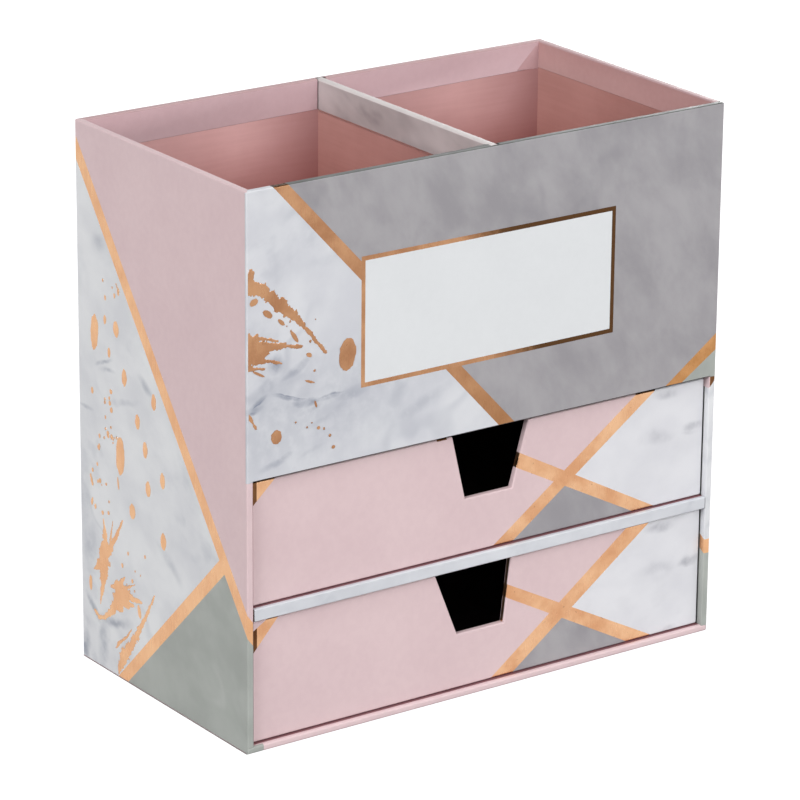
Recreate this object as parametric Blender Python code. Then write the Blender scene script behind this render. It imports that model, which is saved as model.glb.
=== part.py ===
# Desktop drawer organizer: greyboard panels wrapped in printed paper, two open pen
# compartments over two drawers that slide out to the front.
# Metres, +Z up, the front faces -Y, the origin is the middle of the base.

import math

import bmesh
import bpy
from mathutils import Vector

# Overall box
WIDTH = 0.200
DEPTH = 0.107
HEIGHT = 0.199

# Stock that every panel is made of
BOARD = 0.0016
PARTITION_BOARD = 0.0022
PAPER = 0.0002
GLUE = 0.0003
BOARD_EDGE_BREAK = 0.0002
FOLD_RADIUS = 0.00045
FOLD_LIMIT_SHARE = 0.9

# Layout of the cabinet
BAY_HEIGHT = 0.0454
PARTITION_OFFSET = 0.001
EAR_HEIGHT = 0.008
EAR_TAB_INSET = 0.0006
RIM_TURN_IN = 0.012
FRONT_TURN_IN = 0.015
FASCIA_FLAP = 0.012

# Drawers
DRAWER_RECESS = 0.0024
DRAWER_SIDE_CLEARANCE = 0.0004
DRAWER_TOP_CLEARANCE = 0.0009
DRAWER_TURN_IN = 0.012
NOTCH_TOP_WIDTH = 0.0325
NOTCH_BOTTOM_WIDTH = 0.020
NOTCH_DEPTH = 0.024
NOTCH_FLAP = 0.008

# Each drawer's notch was cut by hand: its middle lies a little off the drawer's, and leans
UPPER_NOTCH_SHIFT = 0.0019
UPPER_NOTCH_LEAN = 0.0004
LOWER_NOTCH_SHIFT = -0.0008
LOWER_NOTCH_LEAN = -0.0035

# Modelling limits
WELD_DISTANCE = 0.00001
FOLD_ANGLE = math.radians(20)
SMOOTH_ANGLE = math.radians(35)
FOLD_SEGMENTS = 3

# Thicknesses built up from the stock
SKIN = PAPER + GLUE
WALL = BOARD + 2 * SKIN
PARTITION = PARTITION_BOARD + 2 * SKIN
SHELF = 2 * BOARD + GLUE + 2 * SKIN
FOLD = min(FOLD_RADIUS, SKIN * FOLD_LIMIT_SHARE)

# Planes of the cabinet
SIDE = WIDTH / 2
FRONT = -DEPTH / 2
BACK = DEPTH / 2
INNER_SIDE = SIDE - WALL
INNER_FRONT = FRONT + WALL
INNER_BACK = BACK - WALL
BETWEEN_SIDES = SIDE - SKIN - BOARD - GLUE
BETWEEN_FLANGES = INNER_SIDE - GLUE
BEHIND_FASCIA = FRONT + SKIN + BOARD + GLUE
BEFORE_BACK = BACK - SKIN - BOARD - GLUE
LOWER_BAY = WALL
SHELF_BOTTOM = LOWER_BAY + BAY_HEIGHT
UPPER_BAY = SHELF_BOTTOM + SHELF
FASCIA_BOTTOM = UPPER_BAY + BAY_HEIGHT
ON_BASE = SKIN + BOARD + GLUE
BOARD_TOP = HEIGHT - SKIN
COMPARTMENT_FLOOR = FASCIA_BOTTOM + WALL
TURN_IN_EDGE = HEIGHT - RIM_TURN_IN
FLANGE_LOW = ON_BASE
FLANGE_HIGH = FASCIA_BOTTOM + PAPER
PARTITION_LEFT = PARTITION_OFFSET - PARTITION / 2
PARTITION_RIGHT = PARTITION_OFFSET + PARTITION / 2

# Sizes of a drawer, measured from its front face, its middle and its underside
DRAWER_SIDE = INNER_SIDE - DRAWER_SIDE_CLEARANCE
DRAWER_FRONT = FRONT + DRAWER_RECESS
DRAWER_DEPTH = BEFORE_BACK - DRAWER_FRONT
DRAWER_HEIGHT = BAY_HEIGHT - DRAWER_TOP_CLEARANCE - GLUE
DRAWER_INNER_SIDE = DRAWER_SIDE - WALL
DRAWER_INNER_BACK = DRAWER_DEPTH - WALL
DRAWER_TURN_IN_EDGE = DRAWER_HEIGHT - DRAWER_TURN_IN
NOTCH_BOTTOM = DRAWER_HEIGHT - NOTCH_DEPTH

# Finishes: colour, roughness
GREYBOARD = ((0.47, 0.43, 0.38), 0.92)
PINK_PRINT = ((0.66, 0.50, 0.51), 0.48)
WHITE_MARBLE_PRINT = ((0.69, 0.70, 0.72), 0.42)
GREY_MARBLE_PRINT = ((0.38, 0.37, 0.38), 0.45)
ROSE_LINING = ((0.52, 0.31, 0.31), 0.62)


def clear_scene():
    for obj in list(bpy.data.objects):
        bpy.data.objects.remove(obj, do_unlink=True)


def make_material(name, finish):
    colour, roughness = finish
    material = bpy.data.materials.new(name + "_finish")
    material.use_nodes = True
    shader = material.node_tree.nodes["Principled BSDF"]
    shader.inputs["Base Color"].default_value = (*colour, 1)
    shader.inputs["Roughness"].default_value = roughness
    shader.inputs["Metallic"].default_value = 0
    material.diffuse_color = (*colour, 1)
    return material


def add_empty(name, location):
    empty = bpy.data.objects.new(name, None)
    empty.location = location
    bpy.context.scene.collection.objects.link(empty)
    return empty


def add_object(name, mesh, parent, finish):
    # The object's origin goes to the middle of its mesh, in the parent's frame
    xs, ys, zs = zip(*(vertex.co for vertex in mesh.verts))
    middle = Vector(((min(axis) + max(axis)) / 2 for axis in (xs, ys, zs)))
    bmesh.ops.translate(mesh, verts=mesh.verts, vec=-middle)
    data = bpy.data.meshes.new(name)
    mesh.to_mesh(data)
    mesh.free()
    data.materials.append(make_material(name, finish))
    obj = bpy.data.objects.new(name, data)
    bpy.context.scene.collection.objects.link(obj)
    obj.parent = parent
    obj.location = middle
    return obj


def place(axis, along, u, v):
    # A point whose u and v run across the axis, in X, Y, Z order
    if axis == "X":
        return (along, u, v)
    if axis == "Y":
        return (u, along, v)
    return (u, v, along)


def rectangle(low_u, high_u, low_v, high_v):
    return [(low_u, low_v), (high_u, low_v), (high_u, high_v), (low_u, high_v)]


def panel(axis, level, outline):
    return [place(axis, level, u, v) for u, v in outline]


def board(name, axis, start, thickness, outline, parent):
    # A greyboard panel: its outline is extruded along the axis and its edges are broken
    mesh = bmesh.new()
    face = mesh.faces.new([mesh.verts.new(point) for point in panel(axis, start, outline)])
    grown = bmesh.ops.extrude_face_region(mesh, geom=[face])["geom"]
    moved = [item for item in grown if isinstance(item, bmesh.types.BMVert)]
    bmesh.ops.translate(mesh, verts=moved, vec=place(axis, thickness, 0, 0))
    bmesh.ops.recalc_face_normals(mesh, faces=mesh.faces)
    obj = add_object(name, mesh, parent, GREYBOARD)
    bevel = obj.modifiers.new("edge_break", "BEVEL")
    bevel.width = BOARD_EDGE_BREAK
    bevel.segments = 1
    bevel.limit_method = "ANGLE"
    bevel.angle_limit = FOLD_ANGLE
    return obj


def sheet(name, panels, shown_side, parent, finish):
    # A folded sheet of paper. Its panels are the faces that show and share their corners.
    # The first panel shows towards shown_side, and the paper lies behind the panels.
    mesh = bmesh.new()
    for corners in panels:
        mesh.faces.new([mesh.verts.new(point) for point in corners])
    bmesh.ops.remove_doubles(mesh, verts=mesh.verts, dist=WELD_DISTANCE)
    bmesh.ops.recalc_face_normals(mesh, faces=mesh.faces)
    mesh.faces.ensure_lookup_table()
    if mesh.faces[0].normal.dot(Vector(shown_side)) < 0:
        bmesh.ops.reverse_faces(mesh, faces=mesh.faces)
    folds = []
    for edge in mesh.edges:
        if len(edge.link_faces) == 2 and edge.calc_face_angle_signed() > FOLD_ANGLE:
            folds.append(edge)
    bmesh.ops.bevel(
        mesh, geom=folds, offset=FOLD, offset_type="OFFSET", affect="EDGES",
        segments=FOLD_SEGMENTS, profile=0.5, material=-1,
    )
    obj = add_object(name, mesh, parent, finish)
    solidify = obj.modifiers.new("paper", "SOLIDIFY")
    solidify.thickness = PAPER
    solidify.offset = -1
    solidify.use_even_offset = True
    obj.data.shade_smooth()
    obj.data.set_sharp_from_angle(angle=SMOOTH_ANGLE)
    return obj


def slotted_outline(low):
    # Outline of a wall board that spans between the side boards, with the partition's slot
    slot_side = PARTITION_BOARD / 2 + GLUE
    slot_bottom = HEIGHT - EAR_HEIGHT - GLUE
    return [
        (-BETWEEN_SIDES, low),
        (BETWEEN_SIDES, low),
        (BETWEEN_SIDES, BOARD_TOP),
        (PARTITION_OFFSET + slot_side, BOARD_TOP),
        (PARTITION_OFFSET + slot_side, slot_bottom),
        (PARTITION_OFFSET - slot_side, slot_bottom),
        (PARTITION_OFFSET - slot_side, BOARD_TOP),
        (-BETWEEN_SIDES, BOARD_TOP),
    ]


def add_cabinet_boards(cabinet):
    outer = SIDE - SKIN
    front_edge = FRONT + SKIN
    back_edge = BACK - SKIN
    board("base_board", "Z", SKIN, BOARD, rectangle(-outer, outer, front_edge, back_edge), cabinet)
    side_outline = rectangle(front_edge, back_edge, ON_BASE, BOARD_TOP)
    board("left_side_board", "X", -outer, BOARD, side_outline, cabinet)
    board("right_side_board", "X", outer - BOARD, BOARD, side_outline, cabinet)
    board("back_board", "Y", back_edge - BOARD, BOARD, slotted_outline(ON_BASE), cabinet)
    fascia_low = FASCIA_BOTTOM + SKIN
    board("fascia_board", "Y", front_edge, BOARD, slotted_outline(fascia_low), cabinet)
    floor = rectangle(-BETWEEN_SIDES, BETWEEN_SIDES, BEHIND_FASCIA, BEFORE_BACK)
    board("compartment_floor_board", "Z", fascia_low, BOARD, floor, cabinet)
    ply = rectangle(-BETWEEN_FLANGES, BETWEEN_FLANGES, front_edge, BEFORE_BACK)
    lower_ply = SHELF_BOTTOM + SKIN
    board("shelf_lower_ply", "Z", lower_ply, BOARD, ply, cabinet)
    board("shelf_upper_ply", "Z", lower_ply + BOARD + GLUE, BOARD, ply, cabinet)


def add_partition(cabinet):
    # The partition stands on the compartment floor. An ear at each end of its top sits in
    # the slots of the fascia board and the back board.
    foot = FASCIA_BOTTOM + SKIN + BOARD + GLUE
    ear_low = HEIGHT - EAR_HEIGHT
    outline = [
        (BEHIND_FASCIA, foot),
        (BEFORE_BACK, foot),
        (BEFORE_BACK, ear_low),
        (BACK - SKIN, ear_low),
        (BACK - SKIN, BOARD_TOP),
        (FRONT + SKIN, BOARD_TOP),
        (FRONT + SKIN, ear_low),
        (BEHIND_FASCIA, ear_low),
    ]
    start = PARTITION_OFFSET - PARTITION_BOARD / 2
    board("partition_board", "X", start, PARTITION_BOARD, outline, cabinet)

    # The strip folded over its top, with a tab over each ear
    cap_front = INNER_FRONT + GLUE
    cap_back = INNER_BACK - GLUE
    tab_front = FRONT + SKIN
    tab_back = BACK - SKIN
    tab_left = PARTITION_LEFT + EAR_TAB_INSET
    tab_right = PARTITION_RIGHT - EAR_TAB_INSET
    top = [
        (PARTITION_LEFT, cap_front),
        (tab_left, cap_front),
        (tab_left, tab_front),
        (tab_right, tab_front),
        (tab_right, cap_front),
        (PARTITION_RIGHT, cap_front),
        (PARTITION_RIGHT, cap_back),
        (tab_right, cap_back),
        (tab_right, tab_back),
        (tab_left, tab_back),
        (tab_left, cap_back),
        (PARTITION_LEFT, cap_back),
    ]
    leg = rectangle(cap_front, cap_back, TURN_IN_EDGE, HEIGHT)
    panels = [
        panel("Z", HEIGHT, top),
        panel("X", PARTITION_LEFT, leg),
        panel("X", PARTITION_RIGHT, leg),
    ]
    sheet("partition_cap", panels, (0, 0, 1), cabinet, GREY_MARBLE_PRINT)


def add_outer_wrap(cabinet):
    # One sheet round the left side, the back and the right side. It is turned in over the
    # rim, and beside the drawers it goes round the front edges of the side boards.
    gap_left = PARTITION_LEFT - GLUE
    gap_right = PARTITION_RIGHT + GLUE
    rim_start = FRONT + SKIN
    inner_start = INNER_FRONT + SKIN
    side_outline = [
        (FRONT, FLANGE_LOW),
        (FRONT, FLANGE_HIGH),
        (rim_start, FLANGE_HIGH),
        (rim_start, HEIGHT),
        (BACK, HEIGHT),
        (BACK, SKIN),
        (rim_start, SKIN),
        (rim_start, FLANGE_LOW),
    ]
    back_outline = [(-SIDE, SKIN), (SIDE, SKIN), (SIDE, HEIGHT), (-SIDE, HEIGHT)]
    back_rim = [
        (-SIDE, BACK),
        (SIDE, BACK),
        (INNER_SIDE, INNER_BACK),
        (gap_right, INNER_BACK),
        (gap_right, BACK),
        (gap_left, BACK),
        (gap_left, INNER_BACK),
        (-INNER_SIDE, INNER_BACK),
    ]
    back_outline = back_outline[:3] + [(gap_right, HEIGHT), (gap_left, HEIGHT)] + back_outline[3:]
    panels = [
        panel("Y", BACK, back_outline),
        panel("Z", HEIGHT, back_rim[1:5]),
        panel("Z", HEIGHT, back_rim[5:] + back_rim[:1]),
        panel("Y", INNER_BACK, rectangle(-INNER_SIDE, gap_left, TURN_IN_EDGE, HEIGHT)),
        panel("Y", INNER_BACK, rectangle(gap_right, INNER_SIDE, TURN_IN_EDGE, HEIGHT)),
    ]
    for side in (-1, 1):
        outer = side * SIDE
        inner = side * INNER_SIDE
        rim = [(outer, rim_start), (outer, BACK), (inner, INNER_BACK), (inner, inner_start)]
        flange = rectangle(outer, inner, FLANGE_LOW, FLANGE_HIGH)
        turned = rectangle(FRONT, FRONT + FRONT_TURN_IN, FLANGE_LOW, FLANGE_HIGH)
        panels += [
            panel("X", outer, side_outline),
            panel("Z", HEIGHT, rim),
            panel("X", inner, rectangle(inner_start, INNER_BACK, TURN_IN_EDGE, HEIGHT)),
            panel("Y", FRONT, flange),
            panel("X", inner, turned),
        ]
    sheet("outer_wrap", panels, (0, 1, 0), cabinet, PINK_PRINT)


def add_fascia_wrap(cabinet):
    # The front sheet: over the rim into the compartments, and under the fascia's lower edge
    gap_left = PARTITION_LEFT - GLUE
    gap_right = PARTITION_RIGHT + GLUE
    end_low = FASCIA_BOTTOM + SKIN
    front_outline = [
        (-SIDE, end_low),
        (-BETWEEN_FLANGES, end_low),
        (-BETWEEN_FLANGES, FASCIA_BOTTOM),
        (BETWEEN_FLANGES, FASCIA_BOTTOM),
        (BETWEEN_FLANGES, end_low),
        (SIDE, end_low),
        (SIDE, HEIGHT),
        (gap_right, HEIGHT),
        (gap_left, HEIGHT),
        (-SIDE, HEIGHT),
    ]
    flap = rectangle(-BETWEEN_FLANGES, BETWEEN_FLANGES, FRONT, FRONT + FASCIA_FLAP)
    panels = [panel("Y", FRONT, front_outline), panel("Z", FASCIA_BOTTOM, flap)]
    for outer, inner, gap in ((-SIDE, -INNER_SIDE, gap_left), (SIDE, INNER_SIDE, gap_right)):
        rim = [(outer, FRONT), (gap, FRONT), (gap, INNER_FRONT), (inner, INNER_FRONT)]
        panels += [
            panel("Z", HEIGHT, rim),
            panel("Y", INNER_FRONT, rectangle(inner, gap, TURN_IN_EDGE, HEIGHT)),
        ]
    sheet("fascia_wrap", panels, (0, -1, 0), cabinet, GREY_MARBLE_PRINT)


def add_base_and_shelf_wraps(cabinet):
    # The base sheet: under the base board, up its front edge and back as the bay's floor
    end_high = WALL - SKIN
    under = rectangle(-SIDE, SIDE, FRONT, BACK)
    front_edge = [
        (-SIDE, 0),
        (SIDE, 0),
        (SIDE, end_high),
        (BETWEEN_FLANGES, end_high),
        (BETWEEN_FLANGES, LOWER_BAY),
        (-BETWEEN_FLANGES, LOWER_BAY),
        (-BETWEEN_FLANGES, end_high),
        (-SIDE, end_high),
    ]
    bay_floor = rectangle(-BETWEEN_FLANGES, BETWEEN_FLANGES, FRONT, BEFORE_BACK)
    panels = [
        panel("Z", 0, under),
        panel("Y", FRONT, front_edge),
        panel("Z", LOWER_BAY, bay_floor),
    ]
    sheet("base_wrap", panels, (0, 0, -1), cabinet, PINK_PRINT)

    # The shelf sheet: the same round both plies of the shelf
    panels = [
        panel("Z", SHELF_BOTTOM, bay_floor),
        panel("Y", FRONT, rectangle(-BETWEEN_FLANGES, BETWEEN_FLANGES, SHELF_BOTTOM, UPPER_BAY)),
        panel("Z", UPPER_BAY, bay_floor),
    ]
    sheet("shelf_wrap", panels, (0, 0, -1), cabinet, WHITE_MARBLE_PRINT)


def add_compartment_liner(name, left, right, cabinet):
    top = TURN_IN_EDGE - GLUE
    along = rectangle(INNER_FRONT, INNER_BACK, COMPARTMENT_FLOOR, top)
    across = rectangle(left, right, COMPARTMENT_FLOOR, top)
    panels = [
        panel("Z", COMPARTMENT_FLOOR, rectangle(left, right, INNER_FRONT, INNER_BACK)),
        panel("X", left, along),
        panel("X", right, along),
        panel("Y", INNER_FRONT, across),
        panel("Y", INNER_BACK, across),
    ]
    sheet(name, panels, (0, 0, 1), cabinet, ROSE_LINING)


def notch_edge(side, level, grow, shift, lean):
    # Where the notch's left (-1) or right (1) edge lies at a height, moved outwards by grow
    bottom = shift + side * NOTCH_BOTTOM_WIDTH / 2
    top = shift + lean + side * NOTCH_TOP_WIDTH / 2
    slope = (top - bottom) / NOTCH_DEPTH
    return bottom + slope * (level - NOTCH_BOTTOM) + side * grow * math.hypot(1, slope)


def notch_path(level, grow, shift, lean):
    # From the notch's left edge at a height, round its bottom to the right edge
    bottom = NOTCH_BOTTOM - grow
    return [
        (notch_edge(-1, level, grow, shift, lean), level),
        (notch_edge(-1, bottom, grow, shift, lean), bottom),
        (notch_edge(1, bottom, grow, shift, lean), bottom),
        (notch_edge(1, level, grow, shift, lean), level),
    ]


def add_drawer_boards(name, drawer, shift, lean):
    outer = DRAWER_SIDE - SKIN
    back_edge = DRAWER_DEPTH - SKIN
    board_top = DRAWER_HEIGHT - SKIN
    board(name + "_bottom_board", "Z", SKIN, BOARD, rectangle(-outer, outer, SKIN, back_edge), drawer)
    front = [(-outer, ON_BASE), (-outer, board_top)]
    front += notch_path(board_top, SKIN, shift, lean)
    front += [(outer, board_top), (outer, ON_BASE)]
    board(name + "_front_board", "Y", SKIN, BOARD, front, drawer)
    across = rectangle(-outer, outer, ON_BASE, board_top)
    board(name + "_back_board", "Y", back_edge - BOARD, BOARD, across, drawer)
    between = SKIN + BOARD + GLUE
    along = rectangle(between, DRAWER_DEPTH - between, ON_BASE, board_top)
    board(name + "_left_board", "X", -outer, BOARD, along, drawer)
    board(name + "_right_board", "X", outer - BOARD, BOARD, along, drawer)


def add_drawer_wrap(name, drawer, shift, lean):
    # Five outer faces, the rim, and the turned-in edge inside it. At the notch the sheet is
    # folded through to the inside, where its flaps lie on the front board.
    rim_path = notch_path(DRAWER_HEIGHT, 0, shift, lean)
    flap_path = notch_path(DRAWER_TURN_IN_EDGE, NOTCH_FLAP, shift, lean)
    front = [(-DRAWER_SIDE, 0), (-DRAWER_SIDE, DRAWER_HEIGHT)]
    front += rim_path
    front += [(DRAWER_SIDE, DRAWER_HEIGHT), (DRAWER_SIDE, 0)]
    inner_front = [(-DRAWER_INNER_SIDE, DRAWER_TURN_IN_EDGE), (-DRAWER_INNER_SIDE, DRAWER_HEIGHT)]
    inner_front += rim_path
    inner_front += [(DRAWER_INNER_SIDE, DRAWER_HEIGHT), (DRAWER_INNER_SIDE, DRAWER_TURN_IN_EDGE)]
    inner_front += reversed(flap_path)
    across = rectangle(-DRAWER_SIDE, DRAWER_SIDE, 0, DRAWER_HEIGHT)
    inner_across = rectangle(
        -DRAWER_INNER_SIDE, DRAWER_INNER_SIDE, DRAWER_TURN_IN_EDGE, DRAWER_HEIGHT
    )
    back_rim = [
        (-DRAWER_SIDE, DRAWER_DEPTH),
        (DRAWER_SIDE, DRAWER_DEPTH),
        (DRAWER_INNER_SIDE, DRAWER_INNER_BACK),
        (-DRAWER_INNER_SIDE, DRAWER_INNER_BACK),
    ]
    panels = [
        panel("Z", 0, rectangle(-DRAWER_SIDE, DRAWER_SIDE, 0, DRAWER_DEPTH)),
        panel("Y", 0, front),
        panel("Y", DRAWER_DEPTH, across),
        panel("Z", DRAWER_HEIGHT, back_rim),
        panel("Y", DRAWER_INNER_BACK, inner_across),
        panel("Y", WALL, inner_front),
    ]
    for start, end in zip(rim_path, rim_path[1:]):
        panels.append([
            (start[0], 0, start[1]),
            (end[0], 0, end[1]),
            (end[0], WALL, end[1]),
            (start[0], WALL, start[1]),
        ])
    for side in (-1, 1):
        outer = side * DRAWER_SIDE
        inner = side * DRAWER_INNER_SIDE
        notch = notch_edge(side, DRAWER_HEIGHT, 0, shift, lean)
        rim = [(outer, 0), (outer, DRAWER_DEPTH), (inner, DRAWER_INNER_BACK), (inner, WALL)]
        front_rim = [(outer, 0), (notch, 0), (notch, WALL), (inner, WALL)]
        turned = rectangle(WALL, DRAWER_INNER_BACK, DRAWER_TURN_IN_EDGE, DRAWER_HEIGHT)
        panels += [
            panel("X", outer, rectangle(0, DRAWER_DEPTH, 0, DRAWER_HEIGHT)),
            panel("Z", DRAWER_HEIGHT, rim),
            panel("Z", DRAWER_HEIGHT, front_rim),
            panel("X", inner, turned),
        ]
    sheet(name + "_wrap", panels, (0, 0, -1), drawer, PINK_PRINT)


def add_drawer_liner(name, drawer, shift, lean):
    top = DRAWER_TURN_IN_EDGE - GLUE
    side = DRAWER_INNER_SIDE
    front = [(-side, WALL), (-side, top)]
    front += notch_path(top, NOTCH_FLAP + GLUE, shift, lean)
    front += [(side, top), (side, WALL)]
    along = rectangle(WALL, DRAWER_INNER_BACK, WALL, top)
    panels = [
        panel("Z", WALL, rectangle(-side, side, WALL, DRAWER_INNER_BACK)),
        panel("X", -side, along),
        panel("X", side, along),
        panel("Y", WALL, front),
        panel("Y", DRAWER_INNER_BACK, rectangle(-side, side, WALL, top)),
    ]
    sheet(name + "_liner", panels, (0, 0, 1), drawer, ROSE_LINING)


def add_drawer(name, bay_floor, shift, lean):
    drawer = add_empty(name, (0, DRAWER_FRONT, bay_floor + GLUE))
    add_drawer_boards(name, drawer, shift, lean)
    add_drawer_wrap(name, drawer, shift, lean)
    add_drawer_liner(name, drawer, shift, lean)


def main():
    clear_scene()
    cabinet = add_empty("cabinet", (0, 0, 0))
    add_cabinet_boards(cabinet)
    add_partition(cabinet)
    add_outer_wrap(cabinet)
    add_fascia_wrap(cabinet)
    add_base_and_shelf_wraps(cabinet)
    add_compartment_liner("left_compartment_liner", -INNER_SIDE, PARTITION_LEFT, cabinet)
    add_compartment_liner("right_compartment_liner", PARTITION_RIGHT, INNER_SIDE, cabinet)
    add_drawer("upper_drawer", UPPER_BAY, UPPER_NOTCH_SHIFT, UPPER_NOTCH_LEAN)
    add_drawer("lower_drawer", LOWER_BAY, LOWER_NOTCH_SHIFT, LOWER_NOTCH_LEAN)


main()
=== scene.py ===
import itertools
import math
import random

import bmesh
import bpy
from mathutils import Matrix, Vector, noise


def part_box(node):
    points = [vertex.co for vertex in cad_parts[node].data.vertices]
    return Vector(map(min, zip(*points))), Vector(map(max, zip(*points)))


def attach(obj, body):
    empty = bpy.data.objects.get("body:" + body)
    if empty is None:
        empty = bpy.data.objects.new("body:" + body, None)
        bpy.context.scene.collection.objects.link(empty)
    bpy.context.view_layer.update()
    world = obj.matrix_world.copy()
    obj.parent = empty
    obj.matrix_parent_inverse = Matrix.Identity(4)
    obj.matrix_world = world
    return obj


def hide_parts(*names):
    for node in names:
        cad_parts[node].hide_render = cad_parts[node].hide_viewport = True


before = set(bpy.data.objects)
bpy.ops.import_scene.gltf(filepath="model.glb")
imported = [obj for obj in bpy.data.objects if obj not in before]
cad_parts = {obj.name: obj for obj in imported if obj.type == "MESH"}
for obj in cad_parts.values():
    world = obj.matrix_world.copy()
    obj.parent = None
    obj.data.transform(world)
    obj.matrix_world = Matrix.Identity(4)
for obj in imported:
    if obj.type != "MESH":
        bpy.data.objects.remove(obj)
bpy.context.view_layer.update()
print("frame loaded:", len(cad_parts), "nodes")

mm = 0.001
nearly = 1e-5    # places this close lie on the same plane
xAxis, yAxis, zAxis = Vector((1, 0, 0)), Vector((0, 1, 0)), Vector((0, 0, 1))

# The walls, from the sheets that cover them in the frame
wrapLow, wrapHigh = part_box("outer_wrap")
partitionLow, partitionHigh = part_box("partition_cap")
wall = {
    "side": wrapHigh.x,
    "front": wrapLow.y,
    "back": wrapHigh.y,
    "top": wrapHigh.z,
    "thick": 2.6 * mm,
    "turnIn": partitionHigh.z - partitionLow.z,   # how far the sheets reach down inside the rim
    "paper": 0.2 * mm,
    "fold": 0.5 * mm,         # radius of a fold round a board
    "foldAngle": 20,          # degrees from which a crease becomes a fold
    "sharpAngle": 35,         # and from which the shading breaks
    "hair": 0.1 * mm,         # margins by which faces are told apart
    "inFold": 0.3 * mm,
    "cornerReach": 1.5 * mm,
}
innerSide = wall["side"] - wall["thick"]
innerFront = wall["front"] + wall["thick"]
innerBack = wall["back"] - wall["thick"]
fasciaLow = 98.1 * mm


def onFront(x, z):
    # A print's corner, measured on the front from its left edge and from the floor
    return Vector(((x - 100) * mm, wall["front"], z * mm))


def onSide(depth, z):
    return Vector((0, wall["front"] + depth * mm, z * mm))


def printLine(start, end, facing):
    # A straight edge of the print, as the plane that cuts it. What is above it is beyond it.
    across = (end - start).cross(facing).normalized()
    return (start, across if across.z >= 0 else -across)


def frontLine(start, end):
    return printLine(onFront(*start), onFront(*end), yAxis)


def sideLine(start, end):
    return printLine(onSide(*start), onSide(*end), xAxis)


def cutAt(axis, distance):
    # A plane square to an axis, this far from the origin
    return (axis * distance, axis)


def beyond(line, place):
    return (place - line[0]).dot(line[1]) > 0


def uniqueParts(faces):
    edges = list(dict.fromkeys(edge for face in faces for edge in face.edges))
    verts = list(dict.fromkeys(vert for face in faces for vert in face.verts))
    return list(faces) + edges + verts


def cutFaces(mesh, line, where):
    # Here and below, where and choose are given a face's centre c and its normal n
    faces = [face for face in mesh.faces if where(face.calc_center_median(), face.normal)]
    if faces:
        bmesh.ops.bisect_plane(
            mesh, geom=uniqueParts(faces), plane_co=line[0], plane_no=line[1], dist=nearly / 10)


def dropFaces(mesh, where):
    gone = [face for face in mesh.faces if where(face.calc_center_median(), face.normal)]
    bmesh.ops.delete(mesh, geom=gone, context="FACES")


def boxMesh(low, high):
    mesh = bmesh.new()
    low, high = Vector(low), Vector(high)
    place = Matrix.Translation((low + high) / 2) @ Matrix.Diagonal((*(high - low), 1))
    bmesh.ops.create_cube(mesh, size=1, matrix=place)
    return mesh


def edgesWhere(mesh, where):
    return [edge for edge in mesh.edges if where((edge.verts[0].co + edge.verts[1].co) / 2)]


def extrudeEdges(mesh, edges):
    # The new corners lie on the old ones until they are moved
    made = bmesh.ops.extrude_edge_only(mesh, edges=edges)["geom"]
    return [item for item in made if isinstance(item, bmesh.types.BMVert)]


def roundFolds(mesh, radius, segments, where=None):
    # Outward folds only: paper lies sharp in an inner corner
    mesh.normal_update()
    folds = [
        edge for edge in mesh.edges
        if len(edge.link_faces) == 2 and edge.calc_face_angle_signed() > math.radians(wall["foldAngle"])
        and (where is None or where((edge.verts[0].co + edge.verts[1].co) / 2))]
    bmesh.ops.bevel(
        mesh, geom=folds, offset=radius, offset_type="OFFSET", affect="EDGES",
        segments=segments, profile=0.5, material=-1, clamp_overlap=True)


def finishSheet(name, mesh, body, nodes, finishes, choose):
    # Gives each face its print, makes the object and gives the paper its thickness
    mesh.normal_update()
    for face in mesh.faces:
        face.material_index = finishes.index(choose(face.calc_center_median(), face.normal))
        face.smooth = True
    data = bpy.data.meshes.new(name)
    mesh.to_mesh(data)
    mesh.free()
    for finish in finishes:
        data.materials.append(finish)
    data.set_sharp_from_angle(angle=math.radians(wall["sharpAngle"]))
    piece = bpy.data.objects.new(name, data)
    bpy.context.scene.collection.objects.link(piece)
    paper = piece.modifiers.new("paper", "SOLIDIFY")
    paper.thickness = wall["paper"]
    paper.offset = -1
    paper.use_even_offset = True
    soften = piece.modifiers.new("softShading", "WEIGHTED_NORMAL")
    soften.keep_sharp = True
    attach(piece, body)
    if nodes:
        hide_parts(*nodes)
    return piece


# Finishes

def fromScreen(colour):
    # A colour as a screen shows it, 0 to 255, as the shader wants it
    shares = [value / 255 for value in colour]
    linear = [s / 12.92 if s <= 0.04045 else ((s + 0.055) / 1.055) ** 2.4 for s in shares]
    return (*linear, 1)


def newFinish(name):
    finish = bpy.data.materials.new(name)
    finish.use_nodes = True
    tree = finish.node_tree
    return finish, tree, tree.nodes["Principled BSDF"]


def addNode(tree, kind, settings=None, **inputs):
    node = tree.nodes.new(kind)
    for key, value in (settings or {}).items():
        setattr(node, key, value)
    for key, value in inputs.items():
        number = key[0] == "i" and key[1:].isdigit()    # i6 is the node's input 6
        socket = node.inputs[int(key[1:]) if number else key]
        if isinstance(value, bpy.types.NodeSocket):
            tree.links.new(value, socket)
        else:
            socket.default_value = value
    return node


def noiseAt(tree, place, scale, detail=4, roughness=0.55, distortion=0):
    node = addNode(tree, "ShaderNodeTexNoise", Vector=place, Scale=scale, Detail=detail,
                   Roughness=roughness, Distortion=distortion)
    return node.outputs["Fac"]


def remap(tree, value, low, high, toLow=0, toHigh=1):
    node = addNode(tree, "ShaderNodeMapRange", {"interpolation_type": "SMOOTHSTEP"}, Value=value)
    for key, number in (("From Min", low), ("From Max", high), ("To Min", toLow), ("To Max", toHigh)):
        node.inputs[key].default_value = number
    return node.outputs["Result"]


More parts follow.
